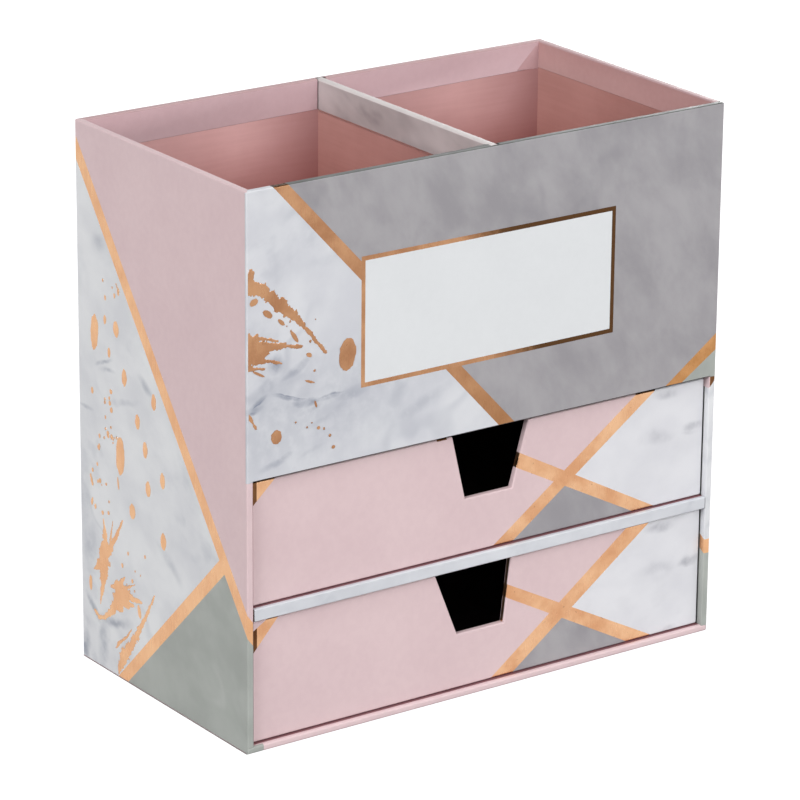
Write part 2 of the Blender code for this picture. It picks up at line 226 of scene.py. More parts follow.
def mixColour(tree, factor, first, second):
    # Each colour is another node's output or a screen colour
    first, second = [colour if isinstance(colour, bpy.types.NodeSocket) else fromScreen(colour)
                     for colour in (first, second)]
    node = addNode(tree, "ShaderNodeMix", {"data_type": "RGBA"}, i0=factor, i6=first, i7=second)
    return node.outputs[2]


def calculate(tree, how, first, second):
    return addNode(tree, "ShaderNodeMath", {"operation": how}, i0=first, i1=second).outputs[0]


def times(tree, first, second):
    return calculate(tree, "MULTIPLY", first, second)


def ridge(tree, value, width):
    # A soft line where the noise passes through its middle
    away = calculate(tree, "ABSOLUTE", calculate(tree, "SUBTRACT", value, 0.5), 0)
    return remap(tree, away, 0, width, 1, 0)


def objectPlace(tree, turn=(0, 0, 0), stretch=(1, 1, 1)):
    place = addNode(tree, "ShaderNodeTexCoord").outputs["Object"]
    mapping = addNode(tree, "ShaderNodeMapping", Vector=place, Scale=stretch,
                      Rotation=[math.radians(angle) for angle in turn])
    return mapping.outputs["Vector"]


paperFinish = {"fibreScale": 2600, "waveScale": 90, "sheenScale": 160}


def paperSurface(tree, shader, place, roughness, fibre=0.05, waves=0.08):
    # The sheet's own surface: fine fibre, faint glue waves and a sheen that varies
    fine = noiseAt(tree, place, paperFinish["fibreScale"], 2, 0.6)
    broad = noiseAt(tree, place, paperFinish["waveScale"], 3, 0.5)
    bumped = addNode(tree, "ShaderNodeBump", Height=fine, Strength=fibre, Distance=0.0002)
    waved = addNode(tree, "ShaderNodeBump", Height=broad, Strength=waves, Distance=0.001)
    tree.links.new(bumped.outputs[0], waved.inputs["Normal"])
    tree.links.new(waved.outputs[0], shader.inputs["Normal"])
    sheen = noiseAt(tree, place, paperFinish["sheenScale"], 3)
    tree.links.new(remap(tree, sheen, 0.3, 0.7, roughness - 0.05, roughness + 0.06),
                   shader.inputs["Roughness"])
    shader.inputs["Specular IOR Level"].default_value = 0.4


plainPrint = {
    "cloudScale": 38, "mottleScale": 420, "mottle": 0.35, "roughness": 0.46,
}


def makePlainPrint(name, light, dark):
    # One colour of ink, a little uneven, with the fine mottle that it takes on from the paper
    finish, tree, shader = newFinish(name)
    place = objectPlace(tree)
    cloud = remap(tree, noiseAt(tree, place, plainPrint["cloudScale"], 5), 0.3, 0.7)
    mottle = remap(tree, noiseAt(tree, place, plainPrint["mottleScale"], 3), 0.35, 0.65)
    uneven = calculate(tree, "ADD", times(tree, cloud, 1 - plainPrint["mottle"]),
                       times(tree, mottle, plainPrint["mottle"]))
    tree.links.new(mixColour(tree, uneven, dark, light), shader.inputs["Base Color"])
    paperSurface(tree, shader, place, plainPrint["roughness"])
    return finish


marblePrint = {
    "stretch": (2.3, 1, 1), "cloudScale": 62, "smearScale": 120, "smearPatches": 15,
    "warpScale": 24, "warp": 0.009, "veinScale": 40, "veinWidth": 0.05, "veinPatches": 19,
    "jitterScale": 75, "jitter": 0.006, "breakScale": 190, "roughness": 0.42,
    "veinDepth": 12,    # mm into the sheet that a placed vein reaches
}


def placedVein(tree, place, facing, centre, size, angle):
    # 1 in the middle of a long thin patch, fading to 0 at its edge
    angle, depth = math.radians(angle), marblePrint["veinDepth"]
    if facing == "front":
        middle, turn, reach = onFront(*centre), (0, -angle, 0), (size[0], depth, size[1])
    else:
        middle, turn, reach = onSide(*centre) - xAxis * wall["side"], (angle, 0, 0), (depth, *size)
    mapping = addNode(tree, "ShaderNodeMapping", {"vector_type": "TEXTURE"}, Vector=place,
                      Location=middle, Rotation=turn, Scale=[length * mm / 2 for length in reach])
    away = addNode(tree, "ShaderNodeVectorMath", {"operation": "LENGTH"}, i0=mapping.outputs["Vector"])
    return remap(tree, away.outputs["Value"], 0.05, 1, 1, 0)


# The veins, listed: middle, size, angle and strength, in mm and degrees
frontVeins = (
    ((4.7, 125.1), (13, 1.3), 30, 1), ((17.6, 125.3), (25, 1.3), -13, 1),
    ((33, 123.4), (24, 2), 4, 0.9), ((2.4, 122.6), (8, 2.4), 10, 0.9), ((3, 123.4), (13, 5.4), 8, 0.7),
    ((5, 125.6), (13, 3.4), 32, 0.75), ((17.6, 124.6), (26, 3.6), -13, 0.8),
    ((23.3, 122.5), (17, 6), 2, 1), ((33, 122.6), (22, 5), 4, 0.6), ((24, 119), (26, 5), 14, 0.45),
    ((42, 122.6), (30, 9), 14, 0.5), ((13, 121.4), (30, 9), 12, 0.35), ((11, 137.6), (11, 10), 0, 0.85),
    ((19.5, 134.4), (22, 5), 24, 0.6), ((9, 131), (16, 10), 30, 0.42), ((30, 114.5), (34, 8), 18, 0.38),
    ((12, 103.5), (26, 6), 20, 0.55), ((26, 105), (24, 5), 22, 0.35), ((70, 112), (44, 9), 22, 0.3),
    ((33, 172), (40, 7), 10, 0.12), ((24, 118), (150, 66), 8, 0.3),
)
sideVeins = (
    ((90.5, 115.6), (16, 2.6), -24, 0.7), ((88, 112.8), (15, 3.4), -12, 0.5),
    ((62.5, 113.8), (15, 6), 30, 0.6), ((102, 95.8), (14, 2.2), 0, 0.5),
    ((78, 104), (30, 3.6), -16, 0.35), ((93, 158), (12, 8), -20, 0.4), ((99, 21), (18, 4.6), 42, 0.85),
    ((86, 20.6), (34, 5), -10, 0.75), ((92.5, 9), (10, 28), 8, 0.7), ((105.4, 4), (7, 16), 0, 1),
    ((101, 44), (16, 28), 0, 0.4), ((49, 54), (28, 6), 32, 0.35), ((104, 62), (11, 44), 0, 0.32),
)
drawerVeins = (
    ((179.4, 94.1), (17, 6), -3, 0.85), ((176.1, 78.6), (26, 8), -2, 0.5),
    ((192.7, 79.4), (15, 5.4), 0, 0.85), ((191, 77.6), (14, 3.4), -8, 0.4),
    ((178.5, 43.9), (18, 6), -2, 0.85), ((177.2, 28.2), (25, 8), -2, 0.5),
    ((192.9, 28.6), (17, 5.4), 4, 0.9), ((183.7, 3.4), (13, 4.4), 6, 0.6),
    ((186, 24), (40, 22), 0, 0.1), ((186, 74), (40, 22), 0, 0.1),
)


def pushedAbout(tree, place, scale, amount):
    # The place moved a little to and fro by noise, which bends what is drawn there
    bends = addNode(tree, "ShaderNodeTexNoise", Vector=place, Scale=scale, Detail=4)
    centred = addNode(tree, "ShaderNodeVectorMath", {"operation": "SUBTRACT"},
                      i0=bends.outputs["Color"], i1=(0.5,) * 3)
    pushed = addNode(tree, "ShaderNodeVectorMath", {"operation": "MULTIPLY_ADD"},
                     i0=centred.outputs[0], i1=(amount,) * 3, i2=place)
    return pushed.outputs[0]


def makeMarblePrint(name, light, dark, vein, veinAmount, turn, shift, smear,
                    placed=(), facing="front", smoke=(5, 0.5, 0)):
    # Printed marble: soft clouds, slanting smears, and veins that come and go
    finish, tree, shader = newFinish(name)
    own = marblePrint
    plain = objectPlace(tree)
    warped = pushedAbout(tree, plain, own["warpScale"], own["warp"])
    mapping = addNode(tree, "ShaderNodeMapping", {"vector_type": "TEXTURE"}, Vector=warped,
                      Rotation=[math.radians(angle) for angle in turn], Scale=own["stretch"],
                      Location=shift)
    slanted = mapping.outputs["Vector"]
    clouds = remap(tree, noiseAt(tree, slanted, own["cloudScale"], *smoke), 0.3, 0.7)
    colour = mixColour(tree, clouds, dark, light)
    smears = remap(tree, noiseAt(tree, slanted, own["smearScale"], 3, 0.5), 0.5, 0.72)
    patches = remap(tree, noiseAt(tree, plain, own["smearPatches"], 2), 0.44, 0.66)
    colour = mixColour(tree, times(tree, times(tree, smears, patches), smear), colour, vein)
    veins = ridge(tree, noiseAt(tree, slanted, own["veinScale"], 2, 0.4), own["veinWidth"])
    patches = remap(tree, noiseAt(tree, plain, own["veinPatches"], 2), 0.5, 0.68)
    colour = mixColour(tree, times(tree, times(tree, veins, patches), veinAmount), colour, vein)
    if placed:
        shaken = pushedAbout(tree, plain, own["jitterScale"], own["jitter"])
        broken = remap(tree, noiseAt(tree, plain, own["breakScale"], 4, 0.6), 0.3, 0.62, 0.45, 1)
        strongest = 0
        for centre, size, angle, amount in placed:
            drawn = times(tree, placedVein(tree, shaken, facing, centre, size, angle), amount)
            strongest = calculate(tree, "MAXIMUM", strongest, drawn)
        colour = mixColour(tree, times(tree, strongest, broken), colour, vein)
    tree.links.new(colour, shader.inputs["Base Color"])
    paperSurface(tree, shader, plain, own["roughness"])
    return finish


roseFoil = {
    "side": ((240, 191, 146), (229, 175, 131)),
    # the front's tones are darker than the side's: painted reflection
    "front": ((201, 153, 114), (175, 126, 91)),
    "end": ((208, 155, 104), (180, 126, 74)),
    "drawer": ((238, 191, 149), (217, 161, 119)),
    # the dark tones: painted shade and painted reflection, for foil on rims, folds and in gaps
    "rim": ((124, 86, 56), (84, 52, 32)),
    "speck": (120, 78, 48), "roughness": 0.3, "crinkle": 0.25,
    "toneScale": 75, "speckScale": 520, "raggedScale": 420, "grainScale": 1500, "creaseScale": 190,
    "brushScale": 900, "brushTurn": (0, 38, 0), "brushStretch": (1, 1, 0.12),
}


def makeRoseFoil(name, tones, speckAmount=0.55, crinkle=roseFoil["crinkle"], paintedDarkReflection=None):
    # Hot-stamped foil: a mirror that took on the paper's grain, with brush marks and specks
    finish, tree, shader = newFinish(name)
    place = objectPlace(tree)
    brushed = objectPlace(tree, roseFoil["brushTurn"], roseFoil["brushStretch"])
    tone = remap(tree, noiseAt(tree, place, roseFoil["toneScale"], 5, 0.6), 0.32, 0.68)
    colour = mixColour(tree, tone, tones[1], tones[0])
    specks = remap(tree, noiseAt(tree, place, roseFoil["speckScale"], 3, 0.6), 0.68, 0.74)
    colour = mixColour(tree, times(tree, specks, speckAmount), colour, roseFoil["speck"])
    if paintedDarkReflection:
        # Painted reflection: its far end is darker, with a ragged change
        parts = addNode(tree, "ShaderNodeSeparateXYZ", Vector=place).outputs
        along = calculate(tree, "ADD", parts["X"], times(tree, parts["Z"], paintedDarkReflection["lean"]))
        ragged = times(tree, noiseAt(tree, place, roseFoil["raggedScale"], 3), paintedDarkReflection["ragged"])
        share = remap(tree, calculate(tree, "ADD", along, ragged), paintedDarkReflection["start"], paintedDarkReflection["end"])
        colour = mixColour(tree, share, colour, paintedDarkReflection["colour"])
    tree.links.new(colour, shader.inputs["Base Color"])
    shader.inputs["Metallic"].default_value = 1
    rough = remap(tree, noiseAt(tree, brushed, roseFoil["brushScale"], 3), 0.3, 0.7,
                  roseFoil["roughness"] - 0.06, roseFoil["roughness"] + 0.12)
    tree.links.new(rough, shader.inputs["Roughness"])
    grain = noiseAt(tree, place, roseFoil["grainScale"], 3, 0.6)
    creases = noiseAt(tree, place, roseFoil["creaseScale"], 4, 0.6, 1.2)
    bumped = addNode(tree, "ShaderNodeBump", Height=grain, Strength=0.1, Distance=0.0002)
    creased = addNode(tree, "ShaderNodeBump", Height=creases, Strength=crinkle, Distance=0.0008)
    tree.links.new(bumped.outputs[0], creased.inputs["Normal"])
    tree.links.new(creased.outputs[0], shader.inputs["Normal"])
    return finish


lining = {
    "rose": ((226, 180, 179), (216, 169, 167)),
    "roseDeep": ((182, 118, 112), (170, 107, 101)),
    # darker tones for the linings that face left: painted shade
    "roseSide": ((192, 140, 133), (182, 130, 123)),
    "roseSideDeep": ((168, 112, 104), (158, 102, 95)),
    # the colour of the painted shade in the far corners
    "corner": (122, 56, 52),
    "dark": ((60, 42, 43), (50, 35, 36)),
    "streakScale": 900, "streakShare": 0.3, "cloudScale": 45, "roughness": 0.66,
    "high": 190 * mm, "low": 150 * mm,     # painted light above, painted shade below
    "start": 98 * mm, "wide": 99 * mm,     # where the compartments start and how wide each is
}


def makeLining(name, tones, deepTones, cornerShade=0):
    # Uncoated lining paper, brushed down in level streaks, lighter towards the rim: painted light
    # above, painted shade below
    finish, tree, shader = newFinish(name)
    place = objectPlace(tree)
    along = objectPlace(tree, (0, 0, 0), (0.05, 0.05, 1))
    streaks = remap(tree, noiseAt(tree, along, lining["streakScale"], 2, 0.5), 0.3, 0.7)
    clouds = remap(tree, noiseAt(tree, place, lining["cloudScale"], 5), 0.3, 0.7)
    uneven = calculate(tree, "ADD", times(tree, streaks, lining["streakShare"]),
                       times(tree, clouds, 1 - lining["streakShare"]))
    parts = addNode(tree, "ShaderNodeSeparateXYZ", Vector=place).outputs
    paintedLightShare = remap(tree, parts["Z"], lining["low"], lining["high"])
    deep = mixColour(tree, uneven, deepTones[1], deepTones[0])
    colour = mixColour(tree, paintedLightShare, deep, mixColour(tree, uneven, tones[1], tones[0]))
    if cornerShade:
        # Painted shade: darker towards the far corner of each compartment
        across = calculate(tree, "ADD", parts["X"], lining["start"])
        inPart = calculate(tree, "FRACT", calculate(tree, "DIVIDE", across, lining["wide"]), 0)
        shade = times(tree, remap(tree, inPart, 0.56, 1.03), cornerShade)
        colour = mixColour(tree, shade, colour, lining["corner"])
    tree.links.new(colour, shader.inputs["Base Color"])
    paperSurface(tree, shader, place, lining["roughness"], fibre=0.12, waves=0.1)
    return finish


board = {
    "light": (182, 176, 166), "dark": (150, 143, 133), "fibreScale": 700, "fleckScale": 1900,
    "fleckAmount": 0.5, "roughness": 0.85,
}


def makeGreyboard(name):
    finish, tree, shader = newFinish(name)
    place = objectPlace(tree)
    fibres = remap(tree, noiseAt(tree, place, board["fibreScale"], 5, 0.7, 0.6), 0.3, 0.7)
    flecks = remap(tree, noiseAt(tree, place, board["fleckScale"], 2), 0.62, 0.7)
    colour = mixColour(tree, fibres, board["dark"], board["light"])
    colour = mixColour(tree, times(tree, flecks, board["fleckAmount"]), colour, board["dark"])
    tree.links.new(colour, shader.inputs["Base Color"])
    paperSurface(tree, shader, place, board["roughness"], fibre=0.25, waves=0.1)
    return finish


pinkPrint = makePlainPrint("pinkPrint", (218, 194, 196), (212, 187, 190))
# Darker copies of the pink print for the bands turned in: painted shade, deeper on those that face left
paintedDeepShadePink = makePlainPrint("paintedDeepShadePink", (190, 149, 147), (184, 142, 140))
paintedShadeInnerPink = makePlainPrint("paintedShadeInnerPink", (209, 179, 184), (203, 172, 177))
# Painted shade: a dark rose for the ledges before the drawers and the fold at the gap beside them
paintedShadeLedge = makePlainPrint("paintedShadeLedge", (140, 96, 101), (128, 86, 91))
# Painted shadow: nearly black, for the fold that faces down over the gap above the upper drawer
paintedShadowGap = makePlainPrint("paintedShadowGap", (34, 27, 29), (28, 22, 24))
# Painted shade: a darker pink for the tucks in the inner corners
paintedShadeTuck = makePlainPrint("paintedShadeTuck", (205, 170, 173), (199, 163, 166))
# Painted shade: a darker pink for the back and right rims
paintedShadeRimPink = makePlainPrint("paintedShadeRimPink", (188, 157, 159), (182, 150, 152))
# Painted highlight: the cap's top, lighter than its marble sides
paintedHighlightCapTop = makePlainPrint("paintedHighlightCapTop", (216, 209, 208), (205, 198, 197))
plaqueWhite = makePlainPrint("plaqueWhite", (220, 222, 224), (217, 219, 221))
whiteMarble = makeMarblePrint(
    "whiteMarblePrint", (225, 226, 228), (211, 212, 216), (140, 146, 160), veinAmount=0.22,
    turn=(0, -23, 45), shift=(0.4, 0.1, 0.7), smear=0.26, placed=sideVeins, facing="left")
fasciaMarble = makeMarblePrint(
    "fasciaMarblePrint", (215, 216, 220), (203, 204, 210), (128, 134, 150), veinAmount=0.22,
    turn=(0, -23, 45), shift=(0.4, 0.1, 0.7), smear=0.2, placed=frontVeins)
drawerMarble = makeMarblePrint(
    "drawerMarblePrint", (222, 222, 226), (214, 214, 219), (150, 151, 160), veinAmount=0.05,
    turn=(0, -8, 45), shift=(0.2, 0.5, 0.1), smear=0.08, placed=drawerVeins)
shelfMarble = makeMarblePrint(
    "shelfMarblePrint", (214, 216, 221), (200, 202, 208), (164, 168, 178), veinAmount=0.2,
    turn=(0, -8, 45), shift=(0.9, 0.3, 0.2), smear=0.4)
greyMarble = makeMarblePrint(
    "greyMarblePrint", (165, 162, 165), (146, 143, 147), (132, 130, 135), veinAmount=0.3,
    turn=(0, 50, 45), shift=(0.1, 0.6, 0.3), smear=0.4, smoke=(6, 0.56, 0.15))
# A darker copy of the grey marble: painted shade on rim tops, in the gaps and deep beside the drawers
greyPaintedShadeMarble = makeMarblePrint(
    "greyPaintedShadeMarblePrint", (106, 108, 106), (92, 94, 92), (82, 84, 82), veinAmount=0.25,
    turn=(0, 50, 45), shift=(0.1, 0.6, 0.3), smear=0.4)
capMarble = makeMarblePrint(
    "capMarblePrint", (197, 187, 187), (170, 160, 160), (118, 110, 114), veinAmount=0.4,
    turn=(0, -20, 80), shift=(0.7, 0.2, 0.5), smear=0.7)
sageMarble = makeMarblePrint(
    "sageMarblePrint", (168, 172, 167), (154, 158, 153), (186, 189, 185), veinAmount=0.3,
    turn=(0, -26, 45), shift=(0.8, 0.3, 0.2), smear=0.3)
sideFoil = makeRoseFoil("roseGoldSideFoil", roseFoil["side"], speckAmount=0.2, crinkle=0.1)
# The front's foil and the plaque's frame darken towards their far end: painted reflection
frontFoil = makeRoseFoil("roseGoldFrontFoil", roseFoil["front"], paintedDarkReflection={
    "lean": 0, "ragged": 0.008, "start": -0.03, "end": 0.032, "colour": (164, 117, 78)})
endFoil = makeRoseFoil("roseGoldEndFoil", roseFoil["end"], speckAmount=0.8)
drawerFoil = makeRoseFoil("roseGoldDrawerFoil", roseFoil["drawer"])
frameFoil = makeRoseFoil("roseGoldFrameFoil", roseFoil["front"], paintedDarkReflection={
    "lean": 0.33, "ragged": 0.012, "start": 0.046, "end": 0.07, "colour": (92, 64, 40)})
roseLining = makeLining("roseLining", lining["rose"], lining["roseDeep"], cornerShade=0.62)
paintedShadeSideLining = makeLining("paintedShadeSideLining", lining["roseSide"], lining["roseSideDeep"])
# A dark copy of the foil: painted shade and painted reflection
paintedShadeFoil = makeRoseFoil("roseGoldPaintedShadeFoil", roseFoil["rim"])
darkLining = makeLining("darkLining", lining["dark"], lining["dark"])
greyboard = makeGreyboard("greyboard")
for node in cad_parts.values():
    for place in node.material_slots:
        place.material = greyboard
print("finishes made")


# The cabinet's outer sheets

# The straight edges of the print, each measured in mm
stripe = {
    "sideUpper": sideLine((0, 51.0), (100, 184.6)),
    "sideLower": sideLine((0, 42.6), (100, 176.2)),
    "sageUpper": sideLine((0, 82.4), (80, 3.4)),
    "sageLower": sideLine((0, 74.9), (75, 1.9)),
    "edgeUpper": frontLine((0, 51.0), (2.6, 47.6)),
    "edgeLower": frontLine((0, 42.6), (2.6, 39.2)),
    "rightUpper": sideLine((0, 36.0), (100, 104.0)),
    "rightLower": sideLine((0, 30.6), (100, 98.6)),
    "flangeFoil": frontLine((197.2, 93.6), (200, 96.8)),
    "rightTopUpper": sideLine((0, 160.2), (107, 112.0)),
    "rightTopLower": sideLine((0, 155.0), (107, 106.8)),
    "backUpper": frontLine((0, 190.8), (200, 112.0)),
    "backLower": frontLine((0, 182.4), (200, 106.8)),
    "backGreyLeft": frontLine((88, 0), (139, 140)),
    "backGreyRight": frontLine((93, 0), (144, 140)),
    "fasciaStripeLow": frontLine((12.4, 196.9), (103.4, 98.9)),
    "fasciaStripeHigh": frontLine((19.9, 195.3), (110.1, 98.9)),
    "fasciaEndHigh": frontLine((178.1, 99.1), (199.9, 114.4)),
    "fasciaEndLow": frontLine((185, 98.7), (200.1, 108.4)),
}
lap = {
    "left": 0.9 * mm, "right": 2.4 * mm,   # how far the front sheet reaches round the corners
    "foot": 0.5 * mm, "base": 2.4 * mm,    # where the outer sheet ends, and where it does at the front
    "flap": 15 * mm,                       # how far it goes back beside the drawers
    "flapPale": 2.4 * mm,                  # and from where it is in shade there
    "rise": 2 * mm,                        # how much higher the turned-in band ends at the right
    "over": 0.08 * mm,                     # how far the front sheet lies over the outer one
    "cap": 1.9 * mm,                       # half the gap in the rim that the partition's cap fills
}
partitionMiddle = (partitionLow.x + partitionHigh.x) / 2


def turnInEdge(x):
    # The turned-in band was cut a little narrower towards the right
    return wall["top"] - wall["turnIn"] + lap["rise"] * (x + innerSide) / (2 * innerSide)


def cabinetShell():
    # All four walls in one sheet, with the rim folded over and in, and the bays' opening
    low = (-wall["side"], wall["front"], lap["foot"])
    mesh = boxMesh(low, (wall["side"], wall["back"], wall["top"]))
    dropFaces(mesh, lambda c, n: abs(n.z) > 0.5)
    cutFaces(mesh, cutAt(zAxis, fasciaLow), lambda c, n: n.y < -0.5)
    for side in (-1, 1):
        cutFaces(mesh, cutAt(xAxis, side * innerSide), lambda c, n: n.y < -0.5 and c.z < fasciaLow)
    dropFaces(mesh, lambda c, n: n.y < -0.5 and c.z < fasciaLow and abs(c.x) < innerSide)

    # Round the edges of the opening and back inside the bays
    opening = edgesWhere(mesh, lambda m: m.y < wall["front"] + nearly and m.z < fasciaLow + nearly
                         and abs(m.x) < innerSide + nearly and m.z > mm)
    bmesh.ops.translate(mesh, verts=extrudeEdges(mesh, opening), vec=(0, lap["flap"], 0))

    # Over the rim and down inside it, mitred at the corners
    verts = extrudeEdges(mesh, edgesWhere(mesh, lambda m: m.z > wall["top"] - nearly))
    bmesh.ops.scale(mesh, verts=verts, vec=(innerSide / wall["side"], innerFront / wall["front"], 1))
    rim = [edge for edge in mesh.edges
           if edge.is_boundary and edge.verts[0] in verts and edge.verts[1] in verts]
    for vert in extrudeEdges(mesh, rim):
        vert.co.z = turnInEdge(vert.co.x)
    bmesh.ops.recalc_face_normals(mesh, faces=mesh.faces)
    mesh.faces.ensure_lookup_table()
    largest = max(mesh.faces, key=lambda face: face.calc_area())
    if largest.normal.dot(largest.calc_center_median()) < 0:
        bmesh.ops.reverse_faces(mesh, faces=mesh.faces)
    roundFolds(mesh, wall["fold"], segments=6)

    # Where the sheets end
    cutFaces(mesh, cutAt(yAxis, wall["front"] + lap["flapPale"]),
             lambda c, n: onRightFlange(c) and n.x < -0.7)
    cutFaces(mesh, cutAt(yAxis, wall["front"] + lap["left"]),
             lambda c, n: c.z > fasciaLow and c.x < -innerSide and n.z < 0.5)
    cutFaces(mesh, cutAt(yAxis, wall["front"] + lap["right"]),
             lambda c, n: c.z > fasciaLow and c.x > innerSide)
    cutFaces(mesh, cutAt(zAxis, fasciaLow), lambda c, n: abs(c.x) > innerSide and c.y < innerFront)
    cutFaces(mesh, cutAt(zAxis, lap["base"]), lambda c, n: c.y < innerFront)
    dropFaces(mesh, lambda c, n: c.z < lap["base"] and c.y < innerFront and abs(n.x) < 0.98)
    for side in (-1, 1):
        cutFaces(mesh, cutAt(xAxis, partitionMiddle + side * lap["cap"]),
                 lambda c, n: c.z > wall["top"] - wall["turnIn"] - mm and abs(n.x) < 0.1
                 and abs(c.y) < wall["back"] - nearly)
    dropFaces(mesh, lambda c, n: abs(c.x - partitionMiddle) < lap["cap"]
              and abs(c.y) < wall["back"] - lap["cap"] / 2 and c.z > fasciaLow + 5 * mm)
    return mesh


def nearFront(c, reach):
    return c.y < wall["front"] + reach


def onFascia(c, n):
    # True on the front sheet, which ends at the mitres of the rim
    if c.y > innerFront + wall["inFold"] and n.z > -0.5:
        return False
    if c.x > innerSide:
        return c.z > fasciaLow and nearFront(c, lap["right"])
    if c.z < fasciaLow + nearly:
        return n.z < -0.2 and abs(c.x) < innerSide - 2 * wall["hair"]
    if c.x < -innerSide and n.z < 0.5:
        return c.z > fasciaLow and nearFront(c, lap["left"])
    return c.x + wall["side"] > c.y - wall["front"]


# The lines on each part of the outer sheet from the top down, and the fields between them
fields = {
    "left": (("sideUpper", "sideLower", "sageUpper", "sageLower"),
             (pinkPrint, sideFoil, whiteMarble, sideFoil, sageMarble)),
    "right": (("rightTopUpper", "rightTopLower", "rightUpper", "rightLower"),
              (pinkPrint, sideFoil, whiteMarble, sideFoil, sageMarble)),
    "back": (("backUpper", "backLower", "backGreyLeft", "backGreyRight"),
             (pinkPrint, sideFoil, whiteMarble, sideFoil, greyMarble)),
    "flange": (("rightUpper", "rightLower"), (whiteMarble, sideFoil, sageMarble)),
    "frontEdge": (("edgeUpper", "edgeLower"), (pinkPrint, sideFoil, sageMarble)),
    "gapEdge": (("edgeUpper", "edgeLower"), (paintedShadeLedge, paintedShadeFoil, greyPaintedShadeMarble)),    # in shade
}


def fieldAt(c, place):
    lines, finishes = fields[place]
    for line, finish in zip(lines, finishes):
        if beyond(stripe[line], c):
            return finish
    return finishes[-1]


def onRightFlange(c):
    return c.x > innerSide - wall["hair"] and c.z < fasciaLow and nearFront(c, lap["flap"])


def sidesPrint(c, n):
    if n.z > 0.3 or c.z > wall["top"] - wall["inFold"]:
        # The back and right rims are darker than the others: painted shade
        return paintedShadeRimPink if c.y > innerBack or c.x > innerSide else pinkPrint
    if onRightFlange(c) and n.x < 0.9:
        if beyond(stripe["flangeFoil"], c):
            # The flange's foil is dark where it faces out: painted shade
            return paintedShadeFoil if n.x > -0.5 else pinkPrint
        if n.x < -0.7 and not nearFront(c, lap["flapPale"]):
            # Deeper beside the drawers the flap is darker: painted shade
            return greyPaintedShadeMarble
        return fieldAt(c, "flange")
    if abs(c.x) <= innerSide + wall["hair"] and abs(c.y) <= innerBack + wall["hair"]:
        if c.z < fasciaLow:
            return pinkPrint
        # The bands inside are darker copies of the pink print: painted shade, deeper where they face
        # left
        return paintedDeepShadePink if n.x < -0.5 else paintedShadeInnerPink
    # The fold at the edge of the gap beside the drawers takes darker prints: painted shade
    if c.x < 0 and c.z < fasciaLow and nearFront(c, wall["fold"]) and n.x > 0.3:
        return fieldAt(c, "gapEdge")
    if c.x < 0 and nearFront(c, wall["inFold"]):
        return fieldAt(c, "frontEdge")
    if abs(c.x) > innerSide and c.y < innerBack + wall["cornerReach"]:
        return fieldAt(c, "left" if c.x < 0 else "right")
    return fieldAt(c, "back") if c.y > innerBack else pinkPrint


plaque = {"left": 45.8, "right": 152.9, "low": 123.1, "high": 169.2, "frame": 1.6}
plaqueLow = onFront(plaque["left"], plaque["low"])
plaqueHigh = onFront(plaque["right"], plaque["high"])


def insidePlaque(place, inset):
    return (plaqueLow.x + inset < place.x < plaqueHigh.x - inset
            and plaqueLow.z + inset < place.z < plaqueHigh.z - inset)


def fasciaPrint(c, n):
    if n.y < -0.99 and insidePlaque(c, 0):
        return plaqueWhite if insidePlaque(c, plaque["frame"] * mm) else frameFoil
    # Painted shadow of the gap above the drawer, on the fold that faces down
    if n.z < -0.35 and c.z < fasciaLow + wall["fold"]:
        return paintedShadowGap
    if not beyond(stripe["fasciaStripeLow"], c):
        return fasciaMarble
    if not beyond(stripe["fasciaStripeHigh"], c):
        # On the rim's top the stripe's foil is dark: painted reflection
        return paintedShadeFoil if n.z > 0.5 else frontFoil
    if beyond(stripe["fasciaEndHigh"], c):
        # On the rim's top the grey marble is darker: painted shade
        return greyPaintedShadeMarble if n.z > 0.55 else greyMarble
    return endFoil if beyond(stripe["fasciaEndLow"], c) else sageMarble


def cutPlaque(mesh):
    for inset in (0, plaque["frame"] * mm):
        for corner, move in ((plaqueLow, inset), (plaqueHigh, -inset)):
            for axis in (xAxis, zAxis):
                cutFaces(mesh, (corner + axis * move, axis), lambda c, n: n.y < -0.99)


shell = cabinetShell()
fasciaSheet = shell.copy()
dropFaces(shell, onFascia)
dropFaces(fasciaSheet, lambda c, n: not onFascia(c, n))


def outerWall(side):
    return lambda c, n: (side * c.x > innerSide + wall["fold"] and abs(n.x) > 0.02
                         and c.y > wall["front"] + nearly)


for name in ("sideUpper", "sideLower", "sageUpper", "sageLower"):
    cutFaces(shell, stripe[name], outerWall(-1))
for name in ("edgeUpper", "edgeLower"):
    cutFaces(shell, stripe[name], lambda c, n: c.x < 0 and c.z < fasciaLow and nearFront(c, mm))
for name in ("rightUpper", "rightLower", "rightTopUpper", "rightTopLower"):
    cutFaces(shell, stripe[name], outerWall(1))
for name in ("rightUpper", "rightLower", "flangeFoil"):
    cutFaces(shell, stripe[name], lambda c, n: onRightFlange(c) and n.x < 0.9)
for name in ("backUpper", "backLower"):
    cutFaces(shell, stripe[name], lambda c, n: c.y > innerBack + wall["cornerReach"] and n.y > 0.02)
for name in ("backGreyLeft", "backGreyRight"):
    cutFaces(shell, stripe[name],
             lambda c, n: n.y > 0.99 and not beyond(stripe["backLower"], c))
for name in ("fasciaStripeLow", "fasciaStripeHigh", "fasciaEndHigh", "fasciaEndLow"):
    cutFaces(fasciaSheet, stripe[name], lambda c, n: True)
cutPlaque(fasciaSheet)

finishSheet("sideAndBackSheet", shell, "cabinet", ["outer_wrap"],
            [pinkPrint, paintedShadeInnerPink, paintedShadeRimPink, paintedDeepShadePink, whiteMarble, greyMarble, greyPaintedShadeMarble,
             sageMarble, sideFoil, paintedShadeFoil, paintedShadeLedge], sidesPrint)
